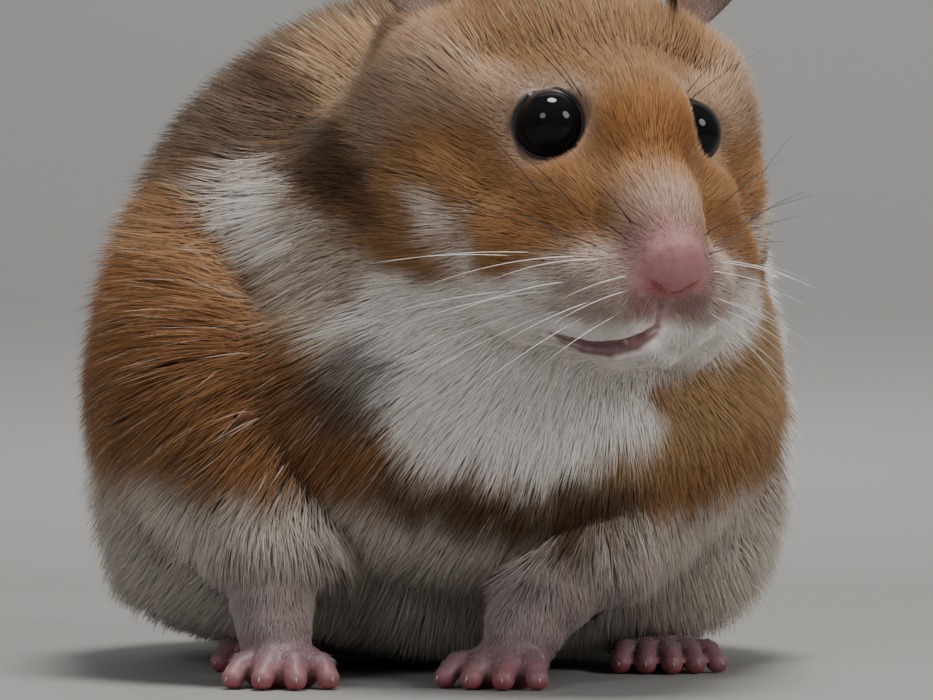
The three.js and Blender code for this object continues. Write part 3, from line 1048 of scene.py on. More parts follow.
def near_side(p):
    """Points with the left half of the body mirrored onto the right."""
    folded = p.copy()
    folded[:, 0] = TRUNK_X - np.abs(p[:, 0] - TRUNK_X)
    return folded


def near_side_of_head(q):
    folded = q.copy()
    folded[:, 0] = -np.abs(q[:, 0])
    return folded

# %% [markdown]
# ## Laying one marking over another
#
# The markings are painted in order, the broad ones first and the small ones over them, like washes of
# paint. The result could be painted by hand on an image, but an image has no depth: this function takes
# any point in space, so that the skin and every tuft above it agree. It also says how many hairs have
# dark tips there.

# %% Laying one marking over another
def new_coat(p):
    """An unmarked coat: the brown of the wild animal, every second hair with a dark tip."""
    return {
        "tint": laid_over(np.zeros_like(p), np.ones(len(p)), AGOUTI),
        "ticks": np.full(len(p), 0.5),
        "rough": noise(p, 3.0, 11) + 0.6 * noise(p, 1.2, 12),
    }


def paint(coat, mask, colour, dark_tips):
    """Lays a colour over the coat where the mask is, with its own share of dark tips."""
    coat["tint"] = laid_over(coat["tint"], mask, colour)
    coat["ticks"] = coat["ticks"] + mask * (dark_tips - coat["ticks"])


# %% [markdown]
# ## Bands round the body
#
# The broad washes come first. Gold covers the lower half of the body and the rump, a white girdle runs
# round behind the ribs, and the underside and the lower legs are pale. They are set by height and by
# distance from the nose alone, because such bands run round the animal like hoops.

# %% Bands round the body
def body_bands(coat, p):
    height, back = p[:, 2], p[:, 1]
    golden = 1 - fade(height + 2.5 * coat["rough"], 40, 58)
    paint(coat, golden, ORANGE, 0.3)
    rump = fade(back + 2 * coat["rough"], 58, 68)
    paint(coat, rump, GOLD, 0.35)
    girdle = fade(back + 2 * coat["rough"], 29, 33) * (1 - fade(back + 2 * coat["rough"], 53, 57))
    paint(coat, girdle * (1 - fade(height + 2 * coat["rough"], 46, 54)), WHITE, 0.04)
    under = 1 - fade(height + 2.2 * coat["rough"] + 0.12 * np.abs(back - 10), 19, 25)
    paint(coat, under, GREY_WHITE, 0.05)

    low = p[:, 2] < 16
    leg = np.zeros(len(p))
    leg[low] = 1 - fade(limbs_field(p[low]), 1.5, 3.0)
    paint(coat, leg * (1 - fade(height, 10, 15)), LEG_GREY, 0.05)


# %% [markdown]
# ## Flank, shoulder and chest
#
# On the animal's right side the marks are richer: a gold flank, darker than the far side's partly as
# painted shade, a white shoulder that runs down into the white bib, a grey spot of painted shade under the
# cheek where the two meet, and a dark edge below the bib. Each is a band along a few measured points. The
# far side has the same marks with less contrast.

# %% Flank, shoulder and chest
def flank_and_chest(coat, p):
    m = near_side(p)
    left = fade(p[:, 0], 2, 10)
    # painted shade, in part: the near flank is deeper than the far side's gold, and also darker as the
    # shade of the side turned from the side light
    flank = band(m, [(-39, 29, 36), (-33, 12, 32), (-24, 3.5, 26.5), (-14, -0.5, 23.5), (-7, -2, 20.5)],
                 [9.5, 9, 7.5, 6.0, 3.8], 1.8, 1.4, 3.0, 21)
    paint(coat, flank * (1 - left), FLANK_GOLD_AND_SHADE, 0.2)
    # painted shade: a dark grey spot under the cheek ruff, between the shoulder and the bib
    shaded = spot(p, (-11.2, -2.2, 28.8), (4.6, 5, 4.2), 1.8, 1.2, 2.2, 43)
    gold_side = band(p, [(35, 26, 32), (29, 10, 28.5), (23, 3.5, 25), (16, 0.5, 21.5)], [10, 7.5, 5.6, 4.6],
                     1.8, 1.4, 3.0, 22)
    paint(coat, gold_side, GOLD, 0.25)
    lower_gold = band(p, [(34, 22, 24), (27, 8, 21.5), (20, 2.5, 18.5)], [4, 3.2, 3.0], 1.8, 1.2, 2.5, 23)
    paint(coat, lower_gold, ORANGE, 0.3)
    chest_band = band(p, [(-7, -2.0, 18.5), (1, -1.5, 16.3), (9, -1, 16), (15, 1, 17)],
                      [2.2, 2.5, 3.4, 3.2], 1.8, 1.2, 2.5, 24)
    paint(coat, chest_band, BROWN, 0.5)

    shoulder = band(m, [(-24, 13.5, 49), (-22, 8.5, 45), (-18.8, 4, 41), (-13.5, -0.3, 37.5), (-7, -4, 34)],
                    [4.8, 5.6, 5.8, 5.6, 5.0], 1.8, 1.5, 2.8, 25)
    paint(coat, shoulder * (1 - 0.4 * left), CREAM, 0.25)
    marbled = shoulder * (1 - left) * fade(noise(p * (1, 1, 2.2), 1.8, 38), 0.0, 0.7)
    paint(coat, marbled * 0.35, SHOULDER_GREY, 0.5)
    pale_shoulder = band(m, [(-25, 15.5, 51), (-23.2, 11.5, 48), (-20.5, 7, 44)], [4.4, 5.0, 3.6],
                         1.8, 1.2, 2.5, 26)
    paint(coat, pale_shoulder * (1 - 0.4 * left), WHITE, 0.04)
    bib = band(p, [(-10, -3, 34), (-1, -5.5, 28), (7, -6, 26.5), (14, -3.5, 26.5)], [5.0, 7.4, 7.8, 5.6],
               1.5, 1.3, 2.5, 27)
    paint(coat, bib, WHITE, 0.06)
    # the painted shade under the cheek ruff is laid last, over the shoulder and the bib
    paint(coat, shaded * 0.8, PAINTED_SHADE_GREY, 0.6)


# %% [markdown]
# ## Neck and face
#
# Behind the cheek a dark crescent parts the gold face from the white shoulder. The back of the neck is
# tan and the top of the head a greyer brown, with a bright patch between the eyes. Both halves of the
# head are alike, so the marks are laid on one half and read for both.

# %% Neck and face
def neck_and_face(coat, p, q, h):
    height, back = p[:, 2], p[:, 1]
    crescent = band(h, [(-19.1, 42.6, -0.6), (-21.0, 29.8, -3.9), (-21.4, 20.3, -6.4), (-21.3, 12.8, -9.2),
                        (-20.9, 8.2, -10.3)], [3.2, 3.8, 3.6, 2.7, 1.7], 1.9, 1.2, 2.5, 28)
    saddle = fade(height + 1.5 * coat["rough"], 56, 62) * fade(back, 16, 26)
    paint(coat, saddle * 0.9, AGOUTI, 0.55)
    nape = band(h, [(0, 18, 10), (0, 30, 9), (-1, 38, 7)], [11, 10, 7], 3.0, 1.6, 3.0, 36)
    paint(coat, nape * 0.8, NAPE, 0.4)
    neck = band(h, [(-13, 38, 3), (-15.5, 28, 1.5), (-18, 16, -0.5)], [6.5, 8.0, 7.0], 2.6, 1.2, 2.5, 29)
    paint(coat, neck * 0.85, TAN, 0.12)

    face = 1 - fade(ellipsoid(q, (0, 2, -3), (20.5, 18, 17)) + 0.9 * coat["rough"], -1.0, 1.6)
    paint(coat, face, ORANGE, 0.08)
    paint(coat, crescent * 0.95, CRESCENT, 0.6)
    ear_base = spot(h, (-14.5, 15, 5), (9.5, 9, 8), 3.0, 1.0, 2.5, 39)
    paint(coat, ear_base * 0.85, EAR_BASE, 0.12)
    crown = spot(q, (0, 4, 9.5), (15, 13, 7.5), 2.4, 0.9, 2.5, 30)
    paint(coat, crown, FOREHEAD, 0.16)
    between = spot(q, (0, -6.5, 1.0), (5.6, 4.5, 3.2), 1.2, 0.5, 2.0, 31)
    paint(coat, between * 0.85, DEEP_ORANGE, 0.05)
    round_eyes = 1 - fade(np.linalg.norm(h - EYES[-1], axis=1), 4.0, 6.6)
    paint(coat, round_eyes * 0.45, MUZZLE, 0.1)
    behind_eye = band(h, [(-13.5, 2.5, 4.0), (-17.0, 6.5, 2.5), (-19.5, 11, -1.5)], [4.0, 3.6, 3.2],
                      2.2, 0.8, 2.0, 40)
    paint(coat, behind_eye * 0.7, EYE_PATCH, 0.1)
    bridge = spot(q, (0, -12.5, -5.5), (4.0, 5.8, 3.2), 3.2, 0.7, 1.8, 32)
    paint(coat, bridge, MUZZLE, 0.02)


# %% [markdown]
# ## Muzzle and throat
#
# Round the mouth the fur is white, with a pale flash up the cheek. The whisker pads are greyish, and near
# the nose the pink skin shines through the short hair, which is told here by the colour alone.

# %% Muzzle and throat
def muzzle_and_throat(coat, q, h):
    throat = 1 - fade(h[:, 2] + 0.25 * (h[:, 1] + 6) + 0.9 * coat["rough"], -14.5, -11.5)
    throat = throat * (1 - fade(ellipsoid(q, (0, 2, -10), (25, 19, 14)), -1, 2))
    paint(coat, throat, WHITE, 0.03)
    flash = band(h, [(-19.0, 3.6, -6.8), (-17.6, 0.8, -9.6), (-16.0, -1.0, -13.0)], [1.0, 1.9, 2.8],
                 1.3, 0.7, 1.6, 33)
    paint(coat, flash * 0.8, PALE_CREAM, 0.02)
    pads = spot(h, (-5.0, -9.5, -12.8), (5.8, 6.0, 4.4), 2.2, 0.7, 1.6, 34)
    paint(coat, pads, PALE_MUZZLE, 0.02)
    under_nose = band(h, [(0, -12.4, -14.4), (-2.8, -12.9, -13.2)], [2.3, 1.7], 1.2, 0.4, 1.2, 37)
    paint(coat, under_nose * 0.75, LIP_MAUVE, 0.0)
    lips = 1 - fade(h[:, 2] + 0.3 * coat["rough"], -17.0, -15.2)
    lips = lips * (1 - fade(ellipsoid(q, (0, -8, -17), (10, 9, 6)), -1, 1))
    paint(coat, lips, WHITE, 0.0)
    pink = 1 - fade(ellipsoid(q, (0, -12.8, -10.2), (4.7, 3.9, 4.2)) + 0.3 * coat["rough"], -1.2, 1.8)
    paint(coat, pink * 0.9, MUZZLE_PINK, 0.0)
    cheek_line = band(h, [(-6, -7.5, -7.5), (-11, -5.5, -9.5)], [2.2, 2.6], 1.2, 0.5, 1.6, 35)
    paint(coat, cheek_line * 0.55, DEEP_ORANGE, 0.05)


# %% [markdown]
# ## All markings together
#
# One function runs the four in order and returns the colour of the coat and how often its hairs have dark
# tips, for any points of the animal. The skin and the tufts both call it.

# %% All markings together
def markings(p):
    """Colour of the coat and how often its hairs have dark tips, for points of the animal's frame."""
    coat = new_coat(p)
    q = in_head(p)
    h = near_side_of_head(q)
    body_bands(coat, p)
    flank_and_chest(coat, p)
    neck_and_face(coat, p, q, h)
    muzzle_and_throat(coat, q, h)
    return coat["tint"], coat["ticks"]

# %% [markdown]
# ## Colour of the skin
#
# Under the fur the skin takes the coat's colours, only darker, so that no gap between hairs shows a false
# colour. Where it is bare it has its own: pink on the nose and lips, a dark mauve-pink on the feet that
# also holds painted shade from the body above them, redder under the toes, brown along the lids and dark
# grey on the ears.

# %% Where the skin is bare
NOSE_PINK = (0.37, 0.16, 0.16)
FLUSHED_PINK = (0.42, 0.10, 0.10)
# the nostrils' own red together with painted shade of the slits' hollow
NOSTRIL_RED_AND_SHADE = (0.13, 0.018, 0.02)
LIP_PINK = (0.21, 0.105, 0.115)
LID_BROWN = (0.03, 0.02, 0.018)
# the feet and toes: their own mauve-pink, darkened further as painted shade from the body over them
FOOT_PINK_AND_SHADE = (0.18, 0.105, 0.118)
TOE_PINK_AND_SHADE = (0.255, 0.115, 0.13)
TOE_RED = (0.32, 0.065, 0.075)
# the lips' own red together with painted shade in the crease of the mouth
CREASE_RED_AND_SHADE = (0.14, 0.045, 0.05)
EAR_GREY = (0.085, 0.06, 0.065)
EAR_INNER = (0.18, 0.11, 0.115)
TAIL_PINK = (0.55, 0.38, 0.34)
UNDER_FUR = 0.82


def mouth_distance(q):
    """How far points of the head's frame are from the mouth and the bare part of the lower lip."""
    distances = []
    for side in (1, -1):
        distances.append(rod_chain(q, mouth_line[side], MOUTH_RADII[side], 0.3))
        distances.append(rod_chain(q, lip_line[side], LIP_RADII[side], 0.3))
    return np.minimum.reduce(distances)


def bare_parts(p):
    """How bare the skin is of each of its kinds, from 0 to 1."""
    q = in_head(p)
    h = near_side_of_head(q)
    wobble = noise(p, 0.8, 41)
    nose = 1 - fade(ellipsoid(q, (0, -14.0, -10.9), (3.5, 2.6, 2.9)) + 0.3 * wobble, -0.9, 1.3)
    philtrum = rod_chain(h, mirrored(philtrum_line, -1), [0.1, 0.0, 0.0], 0.3)
    ears = np.minimum(*(ear_field(q, side) for side in (1, -1)))
    above = np.maximum(*(in_ear(q, side)[:, 2] for side in (1, -1)))
    low = p[:, 2] < 12
    feet = np.zeros(len(p))
    feet[low] = 1 - fade(limbs_field(p[low]), 0.1, 0.5)
    feet *= 1 - fade(p[:, 2] + 0.8 * wobble, 3.2, 7.5)
    tail = (1 - fade(rod_chain(p, TAIL_LINE, TAIL_RADII, 1.0), 0.05, 0.6)) * fade(p[:, 1], 76, 79)
    return {
        "nose": nose,
        "mouth": 1 - fade(np.minimum(mouth_distance(q), philtrum) + 0.1 * wobble, -0.05, 0.6),
        "lids": 1 - fade(lid_ring(h, -1), 0.05, 0.4),
        "ears": (1 - fade(ears, 0.3, 0.8)) * fade(above, -2.0, 0.5),
        "feet": feet,
        "tail": tail,
    }


# %% [markdown]
# ## The skin painted
#
# The bare parts are laid over the coat's own colours one after the other, and the result is stored as a
# colour on each point of the skin. A colour on points needs no image and no unwrap, and the mesh is fine
# enough to hold the edge of a lip.

# %% Paint the skin
def skin_tint(p):
    tint, _ = markings(p)
    tint = tint * UNDER_FUR
    bare = bare_parts(p)
    q = in_head(p)
    # painted shade: the bare feet are laid darker than their pink, for the shade under the body
    tint = laid_over(tint, bare["feet"], FOOT_PINK_AND_SHADE)
    toes = bare["feet"] * (1 - fade(p[:, 2] + noise(p, 0.9, 42), 1.6, 3.2))
    tint = laid_over(tint, toes, TOE_PINK_AND_SHADE)
    tint = laid_over(tint, toes * (1 - fade(p[:, 2] + 0.4 * noise(p, 0.7, 44), 0.3, 1.3)), TOE_RED)
    tint = laid_over(tint, bare["tail"], TAIL_PINK)
    tint = laid_over(tint, bare["ears"], EAR_GREY)
    cupped = np.minimum(*(np.abs(in_ear(q, s)[:, 0]) + 4 * (in_ear(q, s)[:, 1] > 1) for s in (1, -1)))
    tint = laid_over(tint, bare["ears"] * (1 - fade(cupped, 2, 5)), EAR_INNER)
    tint = laid_over(tint, bare["mouth"], LIP_PINK)
    tint = laid_over(tint, bare["nose"], NOSE_PINK)
    tint = laid_over(tint, bare["lids"], LID_BROWN)
    for side in (1, -1):
        slit = rod_chain(q, mirrored(nostril_line, side), NOSTRIL_RADII, 0.2)
        tint = laid_over(tint, 0.6 * (1 - fade(slit, 0.1, 0.9)), FLUSHED_PINK)
        # painted shade, in part: the slits are the skin's red darkened as the shade inside their hollow
        tint = laid_over(tint, 1 - fade(slit, -0.1, 0.2), NOSTRIL_RED_AND_SHADE)
        # painted shade, in part: the crease of the mouth is the lips' red darkened as the shade of the
        # groove
        inner = rod_chain(q, mouth_line[side], MOUTH_RADII[side], 0.3)
        tint = laid_over(tint, 1 - fade(inner, -0.3, 0.25), CREASE_RED_AND_SHADE)
    return tint


def colour_points(mesh, name, colours):
    """Stores one colour for each point of a mesh."""
    layer = mesh.color_attributes.new(name, "FLOAT_COLOR", "POINT")
    with_alpha = np.column_stack([colours, np.ones(len(colours))]).astype(np.float32)
    layer.data.foreach_set("color", with_alpha.ravel())


skin_points, _ = mesh_arrays(skin.data)
skin_colours = skin_tint(skin_points)
colour_points(skin.data, "tint", skin_colours)
print("mean colour of the skin:", np.round(skin_colours.mean(0), 3))

# %% [markdown]
# ## Unwrap of the skin
#
# The coat needs a place on a flat map for each tuft. The skin is unwrapped once by the direction its
# faces look in, and a tuft's patch sits where its root is on that map.

# %% Unwrap
bpy.context.view_layer.objects.active = skin
skin.select_set(True)
bpy.ops.object.mode_set(mode="EDIT")
bpy.ops.mesh.select_all(action="SELECT")
bpy.ops.uv.smart_project(angle_limit=math.radians(75), island_margin=0.002)
bpy.ops.object.mode_set(mode="OBJECT")
skin.select_set(False)
skin.data.uv_layers.active.name = "OFBake"
print("unwrapped")

# %% [markdown]
# ## The coat
#
# A coat this fine can't be cut hair by hair, so each tuft is a thin closed spindle of six triangles that
# stands for a few hairs: rooted in the skin, thickest a little below its middle, bent over and drawn out
# to a point. Its length, rise and width follow the coat's depth, from velvet on the muzzle to 9 mm on the
# body. It lies away from the nose and sags with its weight, and neighbours lean together into locks.

# %% Take stock of the skin
rng = np.random.default_rng(27)


def triangles_of(mesh):
    mesh.calc_loop_triangles()
    corners = np.empty(len(mesh.loop_triangles) * 3, int)
    mesh.loop_triangles.foreach_get("vertices", corners)
    loops = np.empty(len(mesh.loop_triangles) * 3, int)
    mesh.loop_triangles.foreach_get("loops", loops)
    return corners.reshape(-1, 3), loops.reshape(-1, 3)


skin_corners, skin_loops = triangles_of(skin.data)
skin_normals = np.empty(len(skin.data.vertices) * 3, np.float32)
skin.data.vertex_normals.foreach_get("vector", skin_normals)
skin_normals = skin_normals.reshape(-1, 3).astype(float)
skin_map = np.empty(len(skin.data.loops) * 2, np.float32)
skin.data.uv_layers["OFBake"].data.foreach_get("uv", skin_map)
skin_map = skin_map.reshape(-1, 2).astype(float)

DEPTH_STOPS = [0.0, 0.2, 0.45, 0.9, 1.7, 3.4, 5.0]
TUFTS_PER_MM2 = [0, 30, 54, 50, 30, 15.5, 10.5]
TUFT_LENGTHS = [0.5, 0.8, 1.3, 2.3, 3.8, 6.8, 9.0]
TUFT_WIDTHS = [0.05, 0.055, 0.065, 0.085, 0.11, 0.135, 0.155]
LEG_FUR = 0.35
EAR_FUR = 0.18
FOOT_FUR = 0.2
FOOT_SHARE = 0.16
UNDERSIDE_THINNING = 0.72


def fur_depth(p):
    """Depth of the fur at points of the skin, how bare they are, and how far they are on a leg."""
    q = in_head(p)
    depth = coat_depth(p)
    low = p[:, 2] < 30
    on_leg = np.zeros(len(p))
    gap = body_skin_field(p[low])
    on_leg[low] = fade(gap, 0.5, 5.0) * (1 - fade(limbs_field(p[low]), 0.3, 1.0))
    leg_depth = LEG_FUR + 2.6 * fade(p[:, 2], 5, 19)
    depth = depth + on_leg * (leg_depth - depth)
    bare = bare_parts(p)
    depth = depth + bare["ears"] * (EAR_FUR - depth)
    depth = depth + bare["feet"] * (FOOT_FUR - depth)
    depth = depth * (0.3 + 0.7 * fade(mouth_distance(q), 0, 2.6))
    naked = np.maximum.reduce([bare["nose"], bare["mouth"], bare["lids"], bare["tail"]])
    on_top = FOOT_SHARE * fade(p[:, 2], 1.7, 3.0)
    naked = np.maximum(naked, bare["feet"] * (1 - on_top))
    return depth, naked, on_leg


def fineness(p):
    """How fine the tufts are: finest on the head and chest, coarser towards the rump."""
    return 1.08 - 0.26 * fade(p[:, 1], 16, 50)


points_depth, points_naked, points_on_leg = fur_depth(skin_points)
corner_points = skin_points[skin_corners]
areas = np.linalg.norm(np.cross(
    corner_points[:, 1] - corner_points[:, 0], corner_points[:, 2] - corner_points[:, 0]), axis=1) / 2
triangle_depth = points_depth[skin_corners].mean(1)
wanted = areas * np.interp(triangle_depth, DEPTH_STOPS, TUFTS_PER_MM2)
wanted *= fineness(corner_points.mean(1)) ** 2
wanted *= 1 - points_naked[skin_corners].max(1)
triangle_height = corner_points[:, :, 2].mean(1)
on_trunk = 1 - points_on_leg[skin_corners].mean(1)
wanted *= 1 - UNDERSIDE_THINNING * on_trunk * (1 - fade(triangle_height, 3, 14))
TUFT_LIMIT = 240000
print("tufts for the densities asked for:", int(wanted.sum()))
wanted *= min(1, TUFT_LIMIT / wanted.sum())
tuft_count = int(wanted.sum())
print("furred area:", round(areas.sum()), "mm2, tufts:", tuft_count)

# %% [markdown]
# ## The roots of the tufts
#
# Roots are scattered over the skin's triangles, as many on each as its area and the fur's fineness ask
# for. They could be laid by a hair system, but a plain array of random points keeps the same coat on
# every run, and each root keeps the triangle it stands on, which later gives it a place on the unwrap.

# %% Roots
order = np.cumsum(wanted)
chosen = np.searchsorted(order, (np.arange(tuft_count) + rng.random(tuft_count)) / tuft_count * order[-1])
chosen = np.minimum(chosen, len(order) - 1)
u = np.sqrt(rng.random(tuft_count))
v = rng.random(tuft_count)
shares = np.stack([1 - u, u * (1 - v), u * v], 1)


def at_roots(values, corners):
    """Values of the skin's points, read at each tuft's root."""
    return np.einsum("nc,nc...->n...", shares, values[corners[chosen]])


roots = at_roots(skin_points, skin_corners)
root_map = at_roots(skin_map, skin_loops)
normals = at_roots(skin_normals, skin_corners)
normals /= np.linalg.norm(normals, axis=1)[:, None]
depths = at_roots(points_depth, skin_corners)
on_leg = at_roots(points_on_leg, skin_corners)
print("roots:", len(roots))

# %% [markdown]
# ## The lie of the coat
#
# Fur lies from the nose to the tail and from the back down to the belly. It parts round the eyes and the
# ears and runs down the legs. Each root gets such a direction, pressed flat against the skin, with a
# little noise so that neighbours aren't parallel. Lengths, heights and widths follow the depth of the
# coat.

# %% Lie of the coat
def unit(vectors):
    return vectors / np.maximum(np.linalg.norm(vectors, axis=1), 1e-6)[:, None]


NOSE = from_head(NOSE_TIP)


def lie(p, n):
    """The way the coat is combed: away from the nose, down with its weight, down the legs."""
    q = in_head(p)
    flow = unit(p - NOSE)
    on_body = fade(np.linalg.norm(q, axis=1), 20, 34)
    flow[:, 2] -= 0.15 + 0.5 * on_body * fade(60 - p[:, 2], 0, 25) * (0.2 + 0.8 * fade(p[:, 2], 6, 22))
    legs = np.array([0.0, -0.15, -1.0])
    flow = flow * (1 - on_leg[:, None]) + legs * on_leg[:, None]
    for side in (1, -1):
        away = q - EYES[side]
        distance = np.linalg.norm(away, axis=1)
        push = 0.9 * (1 - fade(distance, EYE_RADIUS, EYE_RADIUS + 3.5))
        flow += push[:, None] * (unit(away) @ HEAD.T)
        ear = in_ear(q, side)
        outward = unit(ear * np.array([1, 1, 0])) @ ear_frame(side).T @ HEAD.T
        beside = (1 - fade(ear_field(q, side), 1.0, 5.0)) * (1 - fade(ear[:, 2], 1, 4))
        towards = np.minimum((flow * outward).sum(1), 0)
        flow -= (beside * towards)[:, None] * outward
        on_ear = (1 - fade(ear_field(q, side), 0.1, 0.6)) * fade(ear[:, 2], 2, 5)
        up = HEAD @ (ear_frame(side) @ np.array([0, 0, 1.0]))
        flow += 1.2 * on_ear[:, None] * up
    spread = 0.16 + 0.14 * on_body
    flow = unit(flow) + spread[:, None] * noise_vectors(p, 4.0, 51)
    flow += 0.12 * rng.normal(size=p.shape)
    flow -= (flow * n).sum(1)[:, None] * n
    return unit(flow)


lies = lie(roots, normals)
lengths = np.interp(depths, DEPTH_STOPS, TUFT_LENGTHS) * rng.normal(1.0, 0.12, tuft_count).clip(0.7, 1.35)
guard = rng.random(tuft_count) < 0.22
rises = depths * np.where(guard, rng.uniform(0.92, 1.06, tuft_count), rng.uniform(0.58, 0.98, tuft_count))
rises = np.minimum(rises, 0.9 * lengths)
widths = np.interp(depths, DEPTH_STOPS, TUFT_WIDTHS) * np.where(guard, 0.6, 1.0)
widths *= rng.uniform(0.8, 1.2, tuft_count) / fineness(roots)

reaches = np.sqrt(lengths ** 2 - rises ** 2)
tips = roots + reaches[:, None] * lies + rises[:, None] * normals
middles = roots + 0.42 * reaches[:, None] * lies + 0.6 * rises[:, None] * normals
print("mean length of a tuft:", round(lengths.mean(), 2), "mm")

# %% [markdown]
# ## Locks
#
# Hairs cling together at their tips. A few tufts are chosen as leaders, and every tuft leans some way
# towards the nearest leader's tip. The longer the fur, the more it clings, so the face stays smooth and
# the flank shows locks.

# %% Locks
LEADER_SHARE = 0.06


def leaning_together(roots, middles, tips, share, pull):
    """Tufts lean towards the tip of the nearest of a few leaders."""
    leaders = rng.choice(len(roots), int(len(roots) * share), replace=False)
    tree = KDTree(len(leaders))
    for index, leader in enumerate(leaders):
        tree.insert(roots[leader], index)
    tree.balance()
    nearest = leaders[[tree.find(root)[1] for root in roots]]
    amount = pull[:, None]
    tips = tips + amount * (tips[nearest] - tips)
    middles = middles + 0.45 * amount * (middles[nearest] - middles)
    return middles, tips


lock_pull = np.interp(depths, [0.5, 1.5, 5], [0.08, 0.16, 0.28]) * rng.uniform(0.4, 1.2, tuft_count)
middles, tips = leaning_together(roots, middles, tips, LEADER_SHARE, lock_pull)
print("mean pull of a leader:", round(lock_pull.mean(), 2))

# %% [markdown]
# ## Clear of the eyes, the mouth and the floor
#
# A tuft that crosses an eye spoils the look at once. Tips and middles in front of an eye are moved out
# past the lid. A tuft that would have to move far, or that lies over the open mouth, is left out, and
# what would sink into the floor is lifted onto it.

# %% Keep tufts off the eyes, the mouth and the floor
def beside_eyes(p):
    """Points in front of an eye moved out past its lid."""
    q = in_head(p)
    for side in (1, -1):
        axis = LID_AXIS * np.array([side, 1, 1]) / np.linalg.norm(LID_AXIS)
        away = q - EYES[side]
        along = away @ axis
        outward = away - along[:, None] * axis
        out = np.linalg.norm(outward, axis=1)
        facing = fade(along, -0.6, 0.6) * (along < 9)
        short = np.maximum(EYE_RADIUS + 0.3 - out, 0) * facing
        q = q + short[:, None] * unit(outward)
    return from_head(q)


def above_floor(p):
    p = p.copy()
    p[:, 2] = np.maximum(p[:, 2], 0.12)
    return p


clear_middles, clear_tips = beside_eyes(middles), beside_eyes(tips)
moved = np.linalg.norm(clear_tips - tips, axis=1) + np.linalg.norm(clear_middles - middles, axis=1)
over_mouth = np.minimum(mouth_distance(in_head(tips)), mouth_distance(in_head(middles))) < 0.35
kept = (moved < 0.7) & ~over_mouth
middles, tips = above_floor(clear_middles), above_floor(clear_tips)
print("tufts left out over the eyes and the mouth:", (~kept).sum())

# %% [markdown]
# ## Colours along each tuft
#
# A real hair is slate grey at the root, coloured along its length, and often dark at the tip. Each tuft
# has a colour for its root, middle and tip, taken from the markings half way along it, because that is
# where it is widest and most of it is seen. Some of the longer ones are pale guard hairs.

# %% Colours of the tufts
tint, ticks = markings(roots + 0.5 * (tips - roots))
brightness = np.exp(rng.normal(0, 0.09, tuft_count))[:, None]
tint = tint * brightness * (1 + 0.04 * rng.normal(size=(tuft_count, 3)))
pale_hair = rng.random(tuft_count) < 0.06 * (1 - fade(ticks, 0.3, 0.5))
pale_hair = (pale_hair * fade(depths, 1.6, 3.2))[:, None]
tint = tint + pale_hair * 0.6 * (np.array(CREAM) - tint)
ticked = (rng.random(tuft_count) < ticks)[:, None]
deep = fade(depths, 1.0, 4.0)[:, None]
pale = fade(tint.mean(1), 0.25, 0.5)[:, None]
under = np.array(SLATE) * (1 + 2.2 * pale)
root_tints = tint * 0.8 + 0.6 * deep * (under - tint * 0.8)
middle_tints = np.where(ticked, tint * 0.8, tint)
tip_share = 0.55 - 0.3 * fade(depths, 1.5, 4.0)[:, None]
tip_tints = np.where(ticked, np.array(BLACK_TIP) * (1 - tip_share) + tip_share * tint, tint * 1.15)
print("tufts with dark tips:", int(ticked.sum()), "pale hairs:", int((pale_hair > 0).sum()))

# %% [markdown]
# ## The tufts as solid spindles
#
# A tuft is five points: one in the skin, three round its thickest place, and a tip, closed with six
# triangles. A flat ribbon would need fewer, but it vanishes when seen from its edge and can't be made as
# a solid. The shading normals lean towards the skin's own, so that the coat is lit as one soft surface.

# %% Spindles
ROOT_SINK = 0.12
FLATNESS = 0.55
SKIN_SHARE = 0.75
SPINDLE_FACES = np.array([(0, 1, 2), (0, 2, 3), (0, 3, 1), (4, 2, 1), (4, 3, 2), (4, 1, 3)])
PATCH = 0.003
PATCH_PLACES = np.array([(0.5, 0.0), (0.0, 0.45), (0.5, 0.5), (1.0, 0.45), (0.5, 1.0)]) * PATCH


def spindle_points(part):
    across = unit(np.cross(lies[part], normals[part])) * widths[part, None] / 2
    up = normals[part] * widths[part, None] * FLATNESS / 2
    m = middles[part]
    base = roots[part] - ROOT_SINK * normals[part]
    return np.stack([base, m - across - up, m + across - up, m + up * 1.2, tips[part]], 1)


def coat_piece(name, part):
    """One mesh of all the tufts numbered in `part`."""
    count = len(part)
    points = metres(spindle_points(part).reshape(-1, 3))
    faces = (SPINDLE_FACES[None] + 5 * np.arange(count)[:, None, None]).reshape(-1)
    mesh = bpy.data.meshes.new(name)
    mesh.vertices.add(len(points))
    mesh.vertices.foreach_set("co", points.ravel())
    mesh.loops.add(len(faces))
    mesh.loops.foreach_set("vertex_index", faces)
    mesh.polygons.add(len(faces) // 3)
    mesh.polygons.foreach_set("loop_start", np.arange(0, len(faces), 3))
    mesh.update(calc_edges=True)
    mesh.shade_smooth()
    skinward = np.repeat(normals[part], 5, axis=0)
    own = np.empty(len(points) * 3, np.float32)
    mesh.vertex_normals.foreach_get("vector", own)
    shaded = unit(SKIN_SHARE * skinward + (1 - SKIN_SHARE) * own.reshape(-1, 3))
    mesh.normals_split_custom_set_from_vertices(shaded)
    colours = np.stack([root_tints[part], *[middle_tints[part]] * 3, tip_tints[part]], 1)
    colour_points(mesh, "tint", colours.reshape(-1, 3))
    spots = (root_map[part, None] + PATCH_PLACES[None] - PATCH / 2).reshape(-1, 2)
    layer = mesh.uv_layers.new(name="OFBake")
    layer.data.foreach_set("uv", spots[faces].astype(np.float32).ravel())
    obj = linked(name, mesh)
    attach(obj, "root")
    return obj

# %% [markdown]
# ## The coat in pieces
#
# One mesh of more than a million triangles is clumsy, so the tufts are shared out by where they stand.
# Each piece has the map that a baker of textures reads: every tuft is a tiny patch at its root's place on
# the skin's unwrap.

